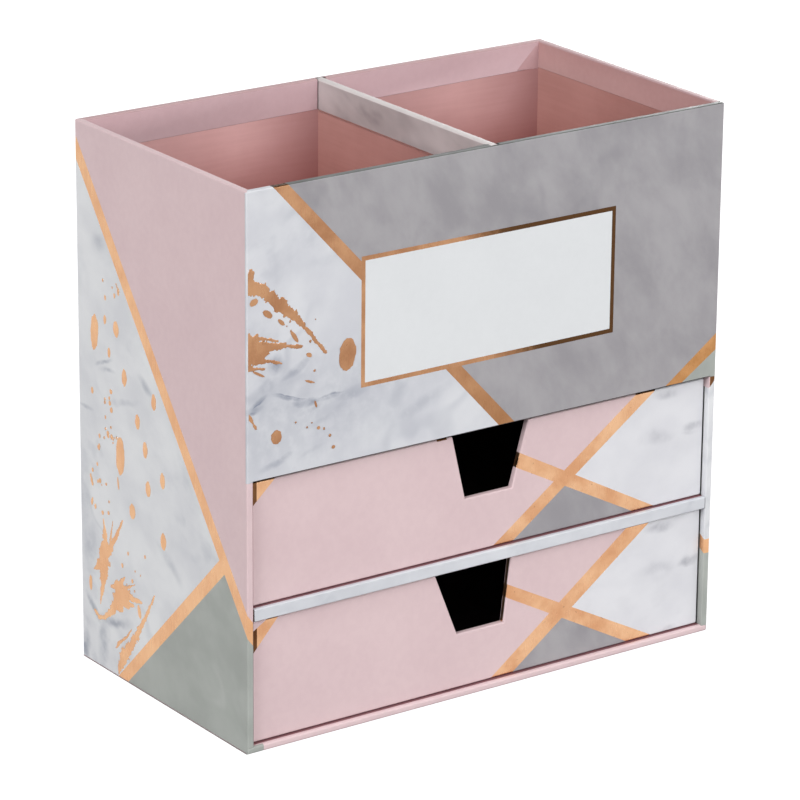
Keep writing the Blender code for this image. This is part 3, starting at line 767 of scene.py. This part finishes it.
# The front sheet lies over the turned-in edge of the outer one
lift = Vector((0, -lap["over"], lap["over"] / 2))
bmesh.ops.translate(fasciaSheet, verts=fasciaSheet.verts, vec=lift)
finishSheet("fasciaSheet", fasciaSheet, "cabinet", ["fascia_wrap"],
            [fasciaMarble, greyMarble, greyPaintedShadeMarble, sageMarble, frontFoil, paintedShadeFoil, plaqueWhite,
             frameFoil, paintedShadowGap, endFoil], fasciaPrint)
print("outer sheets made")


# Foil splashes, stamped on the marble: drops, and strokes with torn edges

splash = {
    "height": 0.03, "step": 0.001, "thickness": 0.03 * mm, "seed": 11,
    "cell": 0.28, "margin": 5,                      # the grid that strokes are cut from, in mm
    "tear": 1.5, "fray": 1.0, "fullTear": 5,        # its torn edge, in full from this width
    "edge": 0.5, "foot": 1,                         # no stroke comes nearer to the sheet's edges
}
dropNumbers = itertools.count(1)


def addDrop(mesh, draw, centre, size, turn=0, ragged=0.14, segments=32):
    made = bmesh.ops.create_circle(mesh, cap_ends=True, segments=segments, radius=1)["verts"]
    seed = Vector((draw.uniform(0, 60), draw.uniform(0, 60), 0))
    for vert in made:
        bulge = noise.noise(seed + vert.co * 1.7) + 0.7 * noise.noise(seed + vert.co * 5)
        vert.co *= 1 + ragged * bulge
    bmesh.ops.scale(mesh, verts=made, vec=(size[0] / 2, size[1] / 2, 1))
    turned = Matrix.Rotation(math.radians(turn), 3, "Z")
    bmesh.ops.rotate(mesh, verts=made, cent=(0, 0, 0), matrix=turned)
    # Each lies a little higher than the last, so that none shares a plane with another
    bmesh.ops.translate(mesh, verts=made, vec=(*centre, splash["step"] * next(dropNumbers)))


def addDots(mesh, draw, count, across, up, sizes, stretch=1.5):
    for _ in range(count):
        size = draw.uniform(*sizes)
        centre = (draw.uniform(*across), draw.uniform(*up))
        length = size * draw.uniform(1, stretch)
        addDrop(mesh, draw, centre, (size, length), draw.uniform(-12, 12), ragged=0.2, segments=16)


def reachIn(path, place):
    # How far inside the stroke a place is, and the stroke's width there. Its points are (x, y, width).
    best = (-9, 1)
    for first, second in zip(path, path[1:]):
        along = Vector((second[0] - first[0], second[1] - first[1]))
        share = (place - Vector(first[:2])).dot(along) / along.length_squared
        share = min(max(share, 0), 1)
        width = first[2] + (second[2] - first[2]) * share
        best = max(best, (width / 2 - (place - Vector(first[:2]) - along * share).length, width))
    return best


def addTornStrokes(mesh, draw, strokes):
    # A fine grid, of which the cells stay that lie in a stroke, whose edge is torn by noise
    places = [Vector(point[:2]) for path in strokes for point in path]
    margin = Vector((splash["margin"],) * 2)
    low = Vector((min(p.x for p in places), min(p.y for p in places))) - margin
    high = Vector((max(p.x for p in places), max(p.y for p in places))) + margin
    cells = [math.ceil(length / splash["cell"]) for length in high - low]
    made = bmesh.ops.create_grid(mesh, x_segments=cells[0], y_segments=cells[1], size=0.5)["verts"]
    bmesh.ops.scale(mesh, verts=made, vec=(high.x - low.x, high.y - low.y, 1))
    bmesh.ops.translate(mesh, verts=made, vec=(*((low + high) / 2), 0))
    seed = draw.uniform(0, 60)
    gone = []
    for face in dict.fromkeys(face for vert in made for face in vert.link_faces):
        place = face.calc_center_median().xy
        reach, width = max(reachIn(path, place) for path in strokes)
        if -2 < reach < 3:
            strength = min(width / splash["fullTear"], 1)
            reach += strength * splash["tear"] * noise.noise((place.x * 0.5, place.y * 0.5, seed))
            reach += strength * splash["fray"] * noise.noise((place.x * 1.5, place.y * 1.5, seed))
        if reach < 0 or place.x < splash["edge"] or place.y < splash["foot"]:
            gone.append(face)
    bmesh.ops.delete(mesh, geom=gone, context="FACES")
    for _ in range(2):
        rim = [vert for vert in made if vert.is_valid and vert.is_boundary]
        bmesh.ops.smooth_vert(mesh, verts=rim, factor=0.5, use_axis_x=True, use_axis_y=True)


def splashSheet(name, draw, place, foil, drops, strokes, dots, flip=False):
    # drops are x, y, width, length and turn; dots are count, reach across, reach up and sizes
    mesh = bmesh.new()
    for x, y, width, length, *turn in drops:
        addDrop(mesh, draw, (x, y), (width, length), *turn)
    for group in strokes:
        addTornStrokes(mesh, draw, group)
    for count, across, up, sizes in dots:
        addDots(mesh, draw, count, across, up, sizes)
    bmesh.ops.translate(mesh, verts=mesh.verts, vec=(0, 0, splash["height"]))
    bmesh.ops.scale(mesh, verts=mesh.verts, vec=(mm, mm, mm))
    bmesh.ops.transform(mesh, verts=mesh.verts, matrix=place)
    if flip:
        bmesh.ops.reverse_faces(mesh, faces=mesh.faces)
    piece = finishSheet(name, mesh, "cabinet", [], [foil], lambda c, n: foil)
    piece.modifiers["paper"].thickness = splash["thickness"]
    piece.modifiers["paper"].use_even_offset = False


draw = random.Random(splash["seed"])
splashSheet(
    "leftFoilSplashes", draw,
    Matrix(((0, 0, -1, -wall["side"]), (1, 0, 0, wall["front"]), (0, 1, 0, 0), (0, 0, 0, 1))),
    sideFoil,
    drops=((96, 125, 5, 13, 3), (89, 131.4, 1.8, 3.4), (81.8, 129.8, 3.6, 5.8), (80, 143.8, 1.4, 3),
           (88.6, 139.4, 1.2, 2), (86.5, 120, 1.8, 3.6), (76.7, 113.6, 3.2, 6), (98, 103, 1.6, 2.4),
           (85.6, 106, 1.8, 1.8), (57.8, 110, 3, 5.8), (68.4, 100, 3, 5.4), (80, 84, 5.6, 14, 2),
           (63.6, 91, 3, 6), (52.6, 83, 3, 5.8), (62, 77.2, 3.2, 5.6), (72.4, 65.8, 3.8, 5.6),
           (52.4, 60.8, 3.6, 6), (81.6, 73.4, 1, 4.6, -8), (99.2, 61.4, 1.4, 3, 14),
           (101, 30, 2, 5.6), (68.6, 29.6, 2.2, 5, -14)),
    strokes=((
        ((94.6, 24, 0.6), (93, 31, 2.6), (92.4, 38, 6.4), (91.4, 44, 7.4), (90.6, 49, 4),
         (91.8, 57, 0.5)),
        ((98.4, 36, 0.8), (95, 38.6, 4), (91, 42, 5), (87.6, 47, 3), (84.6, 51, 2.2), (79.2, 60, 0.9)),
        ((88.6, 43, 1.6), (87.4, 50, 1.2), (85.6, 58, 0.5)),
        ((91.8, 19.4, 0.8), (86, 25, 3.6), (82.4, 29, 8), (80, 32.8, 7), (74.6, 33, 3.4),
         (67, 33.4, 1)),
        ((87, 33, 1.4), (83, 34.6, 4), (79.6, 37.6, 2.4), (78, 39.4, 0.6)),
        ((80, 29, 3), (76, 30.2, 3.8), (72.6, 30.4, 1.4)),
        ((80, 35.4, 1.4), (76, 36.4, 1.4), (71.6, 38.6, 0.6)),
        ((98.4, 20.4, 1.4), (95.6, 18.4, 1.8), (92, 19.8, 2), (88, 22.6, 2)),
    ), (
        ((58.6, 38.9, 0.6), (61.6, 33.6, 1.4), (65.6, 27, 2.2), (70, 20.6, 3.2), (75, 14, 4.2),
         (79.6, 9, 4.6), (82, 4.6, 3.4), (82.8, 1.4, 1)),
        ((84.6, 10.6, 0.7), (82.4, 13, 1.5), (77, 17.4, 1.2), (74, 21, 0.6)),
    )),
    dots=((14, (84, 90), (88, 104), (0.7, 1.9)), (12, (78, 96), (76, 96), (0.6, 1.4)),
          (12, (84, 102), (58, 74), (0.6, 1.6)), (9, (64, 80), (34, 52), (0.6, 1.5)),
          (6, (78, 92), (138, 150), (0.5, 1.3))), flip=True)

splashSheet(
    "fasciaFoilSplashes", draw,
    Matrix(((1, 0, 0, -wall["side"]), (0, 0, -1, wall["front"] - lap["over"]),
            (0, 1, 0, 0), (0, 0, 0, 1))),
    frontFoil,
    drops=((40.2, 136.1, 6.8, 11.6, -4), (11.6, 112.4, 4.2, 5), (2.8, 161, 3.4, 2.4, 20),
           (8.2, 156, 4.4, 2.2, -38), (13.6, 152.2, 3.4, 1.4, -44), (18.9, 146.2, 1.5, 5.2, 34),
           (25.2, 143.5, 0.9, 1.1), (24.7, 138.8, 2.4, 1.5, -30), (26.9, 132.9, 0.9, 0.9),
           (25, 129.4, 4.2, 0.8, -20), (27.4, 121, 0.9, 2.6, 16), (28.6, 112.4, 1.3, 1.2),
           (33.2, 108.8, 1.1, 1.1), (34.6, 104.4, 1.4, 1.3), (4.6, 135.8, 5.4, 0.9, -30)),
    strokes=((
        ((1.4, 164.6, 2), (1.5, 167, 3.6), (1.7, 170.6, 3), (1.6, 172.2, 1.4)),
        ((0.7, 165.6, 3.6), (4.8, 165.4, 5), (9.4, 161.6, 4.2), (13.6, 157.9, 4.4), (17.8, 154.4, 3.4),
         (22.4, 149.6, 1.8), (26.6, 144.4, 1.5), (31.4, 138.4, 1.2)),
    ), (
        ((0.4, 149.8, 3.4), (1, 146, 9), (2.4, 143.6, 9.6), (4.8, 143.6, 8), (7, 144.6, 4)),
        ((4.4, 144.8, 3.4), (9.4, 144.3, 2.8), (14, 143.9, 2.2), (21.4, 142.3, 1.4)),
        ((4.6, 148, 2), (8, 147.4, 1.1), (12.4, 145.8, 0.8)),
        ((0.6, 140.2, 2.4), (5, 140.2, 2.4), (9, 139.6, 1.6), (13.6, 137.8, 0.8)),
        ((0.8, 138.2, 1.4), (4, 137.8, 1.6), (7, 137.2, 1)),
    ), (
        ((0.4, 122.6, 0.8), (1.6, 120.4, 1.5), (3.6, 116.8, 0.9)),
    )),
    dots=((5, (4, 30), (146, 152), (0.4, 0.8)), (4, (8, 36), (106, 120), (0.4, 0.8))))

splashSheet(
    "rightFoilSplashes", draw,
    Matrix(((0, 0, 1, wall["side"]), (1, 0, 0, wall["front"]), (0, 1, 0, 0), (0, 0, 0, 1))),
    sideFoil,
    drops=((16, 112, 4, 8), (22, 126, 3, 5.4), (40, 112, 3.2, 6), (12, 84, 3, 5.6),
           (56, 100, 3, 5.4), (26, 66, 3, 5.6)),
    strokes=((
        ((20, 80, 0.8), (23, 86, 3.4), (27, 93, 7), (30, 99, 5), (34, 108, 0.9)),
        ((22, 98, 0.8), (27, 95, 4), (33, 92, 5), (40, 91, 2.6), (46, 91.6, 0.8)),
        ((34, 74, 0.8), (40, 80, 2.2), (47, 84, 2.8), (56, 86.6, 0.8)),
    ),),
    dots=((14, (12, 56), (72, 124), (0.6, 1.7)),))
print("foil splashes made")


# The partition's cap, the sheets of base and shelf, and the linings

cap = {"fold": 0.9 * mm, "legEnd": 0.08 * mm, "tabEnd": 1.0 * mm}


def capMesh():
    reach = wall["back"] - cap["tabEnd"]
    low = (partitionLow.x, -reach, wall["top"] - wall["turnIn"])
    mesh = boxMesh(low, (partitionHigh.x, reach, wall["top"]))
    dropFaces(mesh, lambda c, n: n.z < -0.5 or abs(n.y) > 0.5)
    roundFolds(mesh, cap["fold"], segments=5)
    legReach = innerBack - cap["legEnd"]
    for side in (-1, 1):
        cutFaces(mesh, cutAt(yAxis, side * legReach), lambda c, n: True)
    dropFaces(mesh, lambda c, n: abs(c.y) > legReach and c.z < wall["top"] - cap["fold"] - nearly)
    return mesh


# The cap's top is lighter than its sides: painted highlight
finishSheet("partitionCap", capMesh(), "cabinet", ["partition_cap"],
            [paintedHighlightCapTop, capMarble], lambda c, n: paintedHighlightCapTop if n.z > 0.3 else capMarble)

# Small ends of the sheets: corner tucks on the inner back wall, and the lift beside the partition
tucks = {
    "cornerTucks": {
        "slot": "printed_outer_sheet", "finish": paintedShadeTuck, "facing": -yAxis,
        "outlines": (
            ((-97.3, 50.86, 197.4), (-97.3, 50.86, 187.3), (-88.4, 50.8, 187.2), (-94.4, 50.84, 196.8)),
            ((97.3, 50.86, 197.4), (95.9, 50.84, 197.2), (87.6, 50.8, 189.2), (97.3, 50.86, 188.6)),
        ),
    },
    "rimLift": {
        # its darker grey is painted shade
        "slot": "printed_fascia_sheet", "finish": greyPaintedShadeMarble, "facing": zAxis,
        "outlines": (
            ((-50, -51.4, 199.0), (-0.7, -51.4, 199.1), (-0.7, -48.9, 198.6), (-9, -49.5, 198.5)),
            ((2.7, -51.4, 199.1), (16, -51.4, 199.0), (2.7, -50.0, 198.6)),
        ),
    },
}
for name, own in tucks.items():
    mesh = bmesh.new()
    for outline in own["outlines"]:
        mesh.faces.new([mesh.verts.new(Vector(place) * mm) for place in outline])
    mesh.normal_update()
    flipped = [face for face in mesh.faces if face.normal.dot(own["facing"]) < 0]
    bmesh.ops.reverse_faces(mesh, faces=flipped)
    finishSheet(name, mesh, "cabinet", [], [own["finish"]], lambda c, n: own["finish"])

base = {"fold": 0.9 * mm, "sageLength": 6.5 * mm, "onTop": 0.15 * mm}
ledge = wall["front"] + 1.5 * mm    # the ledges before the drawers are in shade behind this
baseLow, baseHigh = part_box("base_wrap")


def onLedge(c, n):
    return n.z > 0.7 and c.y > ledge


def baseMesh():
    mesh = boxMesh(baseLow, baseHigh)
    roundFolds(mesh, base["fold"], segments=5, where=lambda m: m.y < baseLow.y + nearly)
    dropFaces(mesh, lambda c, n: n.y > 0.5 or (abs(n.x) > 0.98 and c.y > baseLow.y + mm))
    floorFrom = baseHigh.z - base["onTop"]
    for line in (cutAt(xAxis, -innerSide), cutAt(xAxis, innerSide), cutAt(yAxis, innerBack)):
        cutFaces(mesh, line, lambda c, n: c.z > floorFrom)
    dropFaces(mesh, lambda c, n: c.z > floorFrom and (abs(c.x) > innerSide or c.y > innerBack))
    cutFaces(mesh, cutAt(xAxis, baseLow.x + base["sageLength"]), lambda c, n: c.y < baseLow.y + mm)
    cutFaces(mesh, cutAt(yAxis, ledge), lambda c, n: n.z > 0.7)
    return mesh


def basePrint(c, n):
    if c.x < baseLow.x + base["sageLength"] and c.y < baseLow.y + mm:
        return sageMarble
    return paintedShadeLedge if onLedge(c, n) else pinkPrint


finishSheet("baseSheet", baseMesh(), "cabinet", ["base_wrap"],
            [pinkPrint, sageMarble, paintedShadeLedge], basePrint)


def shelfMesh():
    low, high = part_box("shelf_wrap")
    mesh = boxMesh(low, high)
    dropFaces(mesh, lambda c, n: n.y > 0.5 or abs(n.x) > 0.5)
    roundFolds(mesh, wall["fold"], segments=6)
    cutFaces(mesh, cutAt(yAxis, ledge), lambda c, n: n.z > 0.7)
    return mesh


finishSheet("shelfSheet", shelfMesh(), "cabinet", ["shelf_wrap"],
            [shelfMarble, paintedShadeLedge], lambda c, n: paintedShadeLedge if onLedge(c, n) else shelfMarble)


def liningMesh(node, topEdge=None):
    # An open box seen from inside, so its faces point inwards
    low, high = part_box(node)
    paper = Vector((wall["paper"],) * 3)
    mesh = boxMesh(low + paper, high - Vector((paper.x, paper.y, 0)))
    for vert in mesh.verts:
        if topEdge and vert.co.z > low.z + 10 * mm:
            vert.co.z = topEdge(vert.co.x) - 0.1 * mm
    dropFaces(mesh, lambda c, n: n.z > 0.5)
    bmesh.ops.reverse_faces(mesh, faces=mesh.faces)
    return mesh


for side in ("left", "right"):
    node = side + "_compartment_liner"
    finishSheet(side + "CompartmentLining", liningMesh(node, turnInEdge), "cabinet", [node],
                [roseLining, paintedShadeSideLining],
                lambda c, n: paintedShadeSideLining if n.x < -0.5 else roseLining)
print("cabinet made")


# The drawers

def drawerLine(start, end):
    # The drawers' fronts lie a little behind the front that the prints were measured on
    return frontLine(*[(x + drawer["right"], z - drawer["down"]) for x, z in (start, end)])


drawer = {
    "thick": 2.6 * mm, "fold": 0.6 * mm, "turnIn": 12 * mm, "notchFlap": 8 * mm,
    "right": 1.7, "down": 1.03,      # how far the print is moved on the drawers, in mm
    "darkCorner": 2.4 * mm,          # the stripe at the left corner is in shade up to here
    "cornerWide": 14 * mm, "crossStart": 8 * mm,
    "sideEdge": (34 * mm, 62 * mm),  # where the side's marble ends, at foot and top
    "sideStripe": 6 * mm,
}
# Each drawer's notch, and the edges of its two stripes, a and b, and of the corner's stripe
drawers = {
    "upper": {
        "notch": [(-13.95, 97.0), (-8.1, 73.0), (11.9, 73.0), (18.55, 97.0)],
        "aLeft": drawerLine((102.7, 54.3), (162.9, 96.9)),
        "aRight": drawerLine((111.3, 54.3), (171.8, 97.0)),
        "bUpper": drawerLine((115.7, 85.0), (173.0, 54.4)),
        "bLower": drawerLine((113.8, 80.1), (163.2, 54.4)),
        "foldBit": (-20.6 * mm, -16.4 * mm),    # foil on the rim's fold alone, dark as painted shade
        "cornerHigh": drawerLine((-9, 99), (3, 99)),
        "cornerLow": drawerLine((2.9, 90.4), (10.1, 97.0)),
    },
    "lower": {
        "notch": [(-20.55, 47.1), (-10.8, 23.1), (9.2, 23.1), (11.95, 47.1)],
        "aLeft": drawerLine((103.3, 4.9), (161.8, 48.2)),
        "aRight": drawerLine((112.2, 4.4), (171.2, 47.5)),
        "bUpper": drawerLine((108.6, 38.3), (175.0, 3.7)),
        "bLower": drawerLine((108.6, 33.2), (163.3, 3.9)),
        "cornerHigh": drawerLine((0, 43.4), (6.3, 47.1)),
        "cornerLow": drawerLine((3.0, 37.5), (11.5, 47.0)),
    },
}


def notchLines(notch, grow):
    # Its two slanting sides and its bottom, moved out by grow; beyond is outwards
    leftTop, leftFoot, rightFoot, rightTop = [Vector((x * mm, 0, z * mm)) for x, z in notch]
    lines = []
    for top, foot, side in ((leftTop, leftFoot, -1), (rightTop, rightFoot, 1)):
        across = (top - foot).cross(yAxis).normalized()
        if across.x * side < 0:
            across.negate()
        lines.append((foot + across * grow, across))
    lines.append((leftFoot - zAxis * grow, -zAxis))
    return lines


def cutNotch(mesh, notch, grow, wallFace):
    lines = notchLines(notch, grow)
    for line in lines:
        cutFaces(mesh, line, wallFace)
    dropFaces(mesh, lambda c, n: wallFace(c, n) and not any(beyond(line, c) for line in lines))


def meetAt(first, second):
    # Where two cutting lines cross, in the plane of the front
    ax, az, bx, bz = first[1].x, first[1].z, second[1].x, second[1].z
    a, b = first[0].dot(first[1]), second[0].dot(second[1])
    share = ax * bz - az * bx
    return ((a * bz - b * az) / share, (ax * b - bx * a) / share)


def drawerSheet(name, own):
    low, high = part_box(name + "_drawer_wrap")
    thick = drawer["thick"]
    mesh = boxMesh(low, high)
    dropFaces(mesh, lambda c, n: n.z > 0.5)
    cutNotch(mesh, own["notch"], 0, lambda c, n: n.y < -0.5)

    # Across the rim and through the notch
    verts = extrudeEdges(mesh, [edge for edge in mesh.edges if edge.is_boundary])
    for axis in (xAxis, yAxis):
        for edge, inwards in ((low, 1), (high, -1)):
            onWall = [vert for vert in verts if abs((vert.co - edge).dot(axis)) < nearly]
            bmesh.ops.translate(mesh, verts=onWall, vec=axis * inwards * thick)

    # Down the inside, as a band that also follows the notch
    verts = extrudeEdges(mesh, [edge for edge in mesh.edges if edge.is_boundary])
    bandLow = cutAt(zAxis, high.z - drawer["turnIn"])
    left, right, foot = notchLines(own["notch"], drawer["notchFlap"])
    corners = ((left, bandLow), (left, foot), (right, foot), (right, bandLow))
    targets = {(round(x, 2), round(z, 1)): meetAt(*lines)
               for (x, z), lines in zip(own["notch"], corners)}
    for vert in verts:
        spot = targets.get((round(vert.co.x / mm, 2), round(vert.co.z / mm, 1)))
        if spot:
            vert.co.x, vert.co.z = spot
        else:
            vert.co.z -= drawer["turnIn"]
    bmesh.ops.recalc_face_normals(mesh, faces=mesh.faces)
    underside = min(mesh.faces, key=lambda face: face.calc_center_median().z)
    if underside.normal.z > 0:
        bmesh.ops.reverse_faces(mesh, faces=mesh.faces)
    roundFolds(mesh, drawer["fold"], segments=5)
    frontReach, cornerEnd = low.y + thick + mm, low.x + drawer["cornerWide"]
    for key in ("aLeft", "aRight", "bUpper", "bLower", "cornerHigh", "cornerLow"):
        cutFaces(mesh, own[key], lambda c, n: c.y < frontReach and abs(n.x) < 0.99)
    cutFaces(mesh, cutAt(xAxis, low.x + drawer["darkCorner"]),
             lambda c, n: c.y < frontReach and beyond(own["cornerLow"], c) and c.x < cornerEnd)
    for edge in own.get("foldBit", ()):
        cutFaces(mesh, cutAt(xAxis, edge), lambda c, n: c.y < frontReach and n.z > 0.1)
    for line in sidePatch(low, high):
        cutFaces(mesh, line, lambda c, n: c.x > high.x - thick and c.y > low.y + mm)
    cornerPlane = (Vector((0, low.y + 5 * mm, high.z)), Vector((0, -0.8, 0.6)))
    cutFaces(mesh, cornerPlane, lambda c, n: c.x < low.x + mm and n.x < -0.1)

    def choose(c, n):
        if n.z < -0.8:
            return pinkPrint
        if c.x < low.x + 2 * wall["hair"] and n.x < -0.8:
            # On the upper drawer's left side the foil behind this plane is dark: painted shade
            return paintedShadeFoil if name == "upper" and beyond(cornerPlane, c) else pinkPrint
        if c.x > high.x - thick and low.y + wall["cornerReach"] < c.y < high.y - thick:
            first, second = sidePatch(low, high)
            if beyond(first, c):
                return drawerMarble
            return drawerFoil if beyond(second, c) else pinkPrint
        if c.y > frontReach:
            return pinkPrint
        if "foldBit" in own and n.z > 0.1 and own["foldBit"][0] < c.x < own["foldBit"][1]:
            return paintedShadeFoil
        if beyond(own["cornerLow"], c) and c.x < cornerEnd:
            if beyond(own["cornerHigh"], c):
                return pinkPrint
            # Dark foil on the lower drawer's fold and at the left corner: painted shade
            onFold = name == "lower" and n.z > 0.2
            return paintedShadeFoil if onFold or c.x < low.x + drawer["darkCorner"] else drawerFoil
        if beyond(own["aLeft"], c):
            crossing = beyond(own["bLower"], c) and not beyond(own["bUpper"], c)
            return drawerFoil if crossing and c.x > drawer["crossStart"] else pinkPrint
        if beyond(own["aRight"], c):
            # On the upper drawer's fold the stripe is dark foil: painted shade
            return paintedShadeFoil if name == "upper" and n.z > 0.2 else drawerFoil
        if beyond(own["bUpper"], c):
            return drawerMarble
        return drawerFoil if beyond(own["bLower"], c) else greyMarble

    return mesh, choose


def sidePatch(low, high):
    # On the right side the marble ends behind a stripe that leans back
    lines = []
    for back in (0, drawer["sideStripe"]):
        foot, top = [Vector((0, low.y + reach + back, 0)) for reach in drawer["sideEdge"]]
        lines.append(printLine(foot + zAxis * low.z, top + zAxis * high.z, xAxis))
    return lines


def drawerLining(name, own):
    mesh = liningMesh(name + "_drawer_liner")
    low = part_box(name + "_drawer_liner")[0]
    cutNotch(mesh, own["notch"], drawer["notchFlap"] + 0.3 * mm,
             lambda c, n: n.y > 0.5 and c.y < low.y + mm)
    return mesh


for name, own in drawers.items():
    body = name + "_drawer"
    mesh, choose = drawerSheet(name, own)
    finishSheet(name + "DrawerSheet", mesh, body, [body + "_wrap"],
                [pinkPrint, drawerMarble, greyMarble, drawerFoil, paintedShadeFoil], choose)
    finishSheet(name + "DrawerLining", drawerLining(name, own), body, [body + "_liner"],
                [darkLining], lambda c, n: darkLining)
print("drawers made")


# Floor, light and camera

studio = {
    "aim": (0, 0, 0.1),
    "floorSize": 12, "floorWhite": 0.3, "floorRoughness": 0.7, "floorInShadow": (0.42, 0.42, 0.43, 1),
    "floorGlow": 0.84, "floorInGloss": 0.56, "worldStrength": 0.38, "worldInGloss": 0.4,
    "left": {"place": (-6.4, -2.3, 4.1), "size": 4.4, "power": 390},
    "front": {"place": (0.6, -6.8, 4.1), "size": 4.4, "power": 285},
    "right": {"place": (4.5, -3.5, 1.8), "size": 4, "power": 72},
    "back": {"place": (5.4, 4.7, 1.4), "size": 2.4, "power": 180},
}


def byGloss(tree, rays, plain, inGloss):
    # One strength for the light that reaches paper, another for what foil mirrors
    node = addNode(tree, "ShaderNodeMapRange", Value=rays.outputs["Is Glossy Ray"])
    node.inputs["To Min"].default_value, node.inputs["To Max"].default_value = plain, inGloss
    return node.outputs[0]


floorMesh = bmesh.new()
bmesh.ops.create_grid(floorMesh, x_segments=1, y_segments=1, size=studio["floorSize"] / 2)
floorData = bpy.data.meshes.new("floor")
floorMesh.to_mesh(floorData)
floorMesh.free()
floor = bpy.data.objects.new("floor", floorData)
bpy.context.scene.collection.objects.link(floor)

floorFinish, tree, shader = newFinish("paleFloor")
shader.inputs["Base Color"].default_value = (*(studio["floorWhite"],) * 3, 1)
shader.inputs["Roughness"].default_value = studio["floorRoughness"]
rays = addNode(tree, "ShaderNodeLightPath")
shadowed = addNode(tree, "ShaderNodeBsdfDiffuse", Color=studio["floorInShadow"])
glowing = byGloss(tree, rays, studio["floorGlow"], studio["floorInGloss"])
glow = addNode(tree, "ShaderNodeEmission", Color=(1, 1, 1, 1), Strength=glowing)
white = addNode(tree, "ShaderNodeAddShader", i0=shadowed.outputs[0], i1=glow.outputs[0])
seen = calculate(tree, "MAXIMUM", rays.outputs["Is Camera Ray"], rays.outputs["Is Glossy Ray"])
blend = addNode(tree, "ShaderNodeMixShader", i0=seen, i1=shader.outputs[0], i2=white.outputs[0])
tree.links.new(blend.outputs[0], tree.nodes["Material Output"].inputs["Surface"])
floorData.materials.append(floorFinish)

world = bpy.data.worlds.new("studioWorld")
bpy.context.scene.world = world
world.use_nodes = True
tree = world.node_tree
rays = addNode(tree, "ShaderNodeLightPath")
seen = calculate(tree, "MAXIMUM", rays.outputs["Is Camera Ray"], rays.outputs["Is Transmission Ray"])
lit = byGloss(tree, rays, studio["worldStrength"], studio["worldInGloss"])
strength = calculate(tree, "MAXIMUM", lit, seen)
tree.links.new(strength, tree.nodes["Background"].inputs["Strength"])
tree.nodes["Background"].inputs["Color"].default_value = (1, 1, 1, 1)

for name in ("left", "front", "right", "back"):
    own = studio[name]
    light = bpy.data.lights.new(name, "AREA")
    light.shape = "DISK"
    light.size = own["size"]
    light.energy = own["power"]
    lamp = bpy.data.objects.new(name, light)
    lamp.location = own["place"]
    aim = Vector(studio["aim"]) - Vector(own["place"])
    lamp.rotation_euler = aim.to_track_quat("-Z", "Y").to_euler()
    bpy.context.scene.collection.objects.link(lamp)

# The camera fitted to the corners of the box in the photograph
view = {
    "lens": 196.15, "sensor": 36, "place": (-0.8456, -1.1882, 0.6004), "turn": (70.81, -0.49, -35.27),
}
cameraData = bpy.data.cameras.new("camera")
cameraData.sensor_width = view["sensor"]
cameraData.lens = view["lens"]
camera = bpy.data.objects.new("camera", cameraData)
camera.location = view["place"]
camera.rotation_euler = [math.radians(angle) for angle in view["turn"]]
bpy.context.scene.collection.objects.link(camera)
bpy.context.scene.camera = camera
bpy.context.scene.view_settings.view_transform = "Standard"
print("studio made")
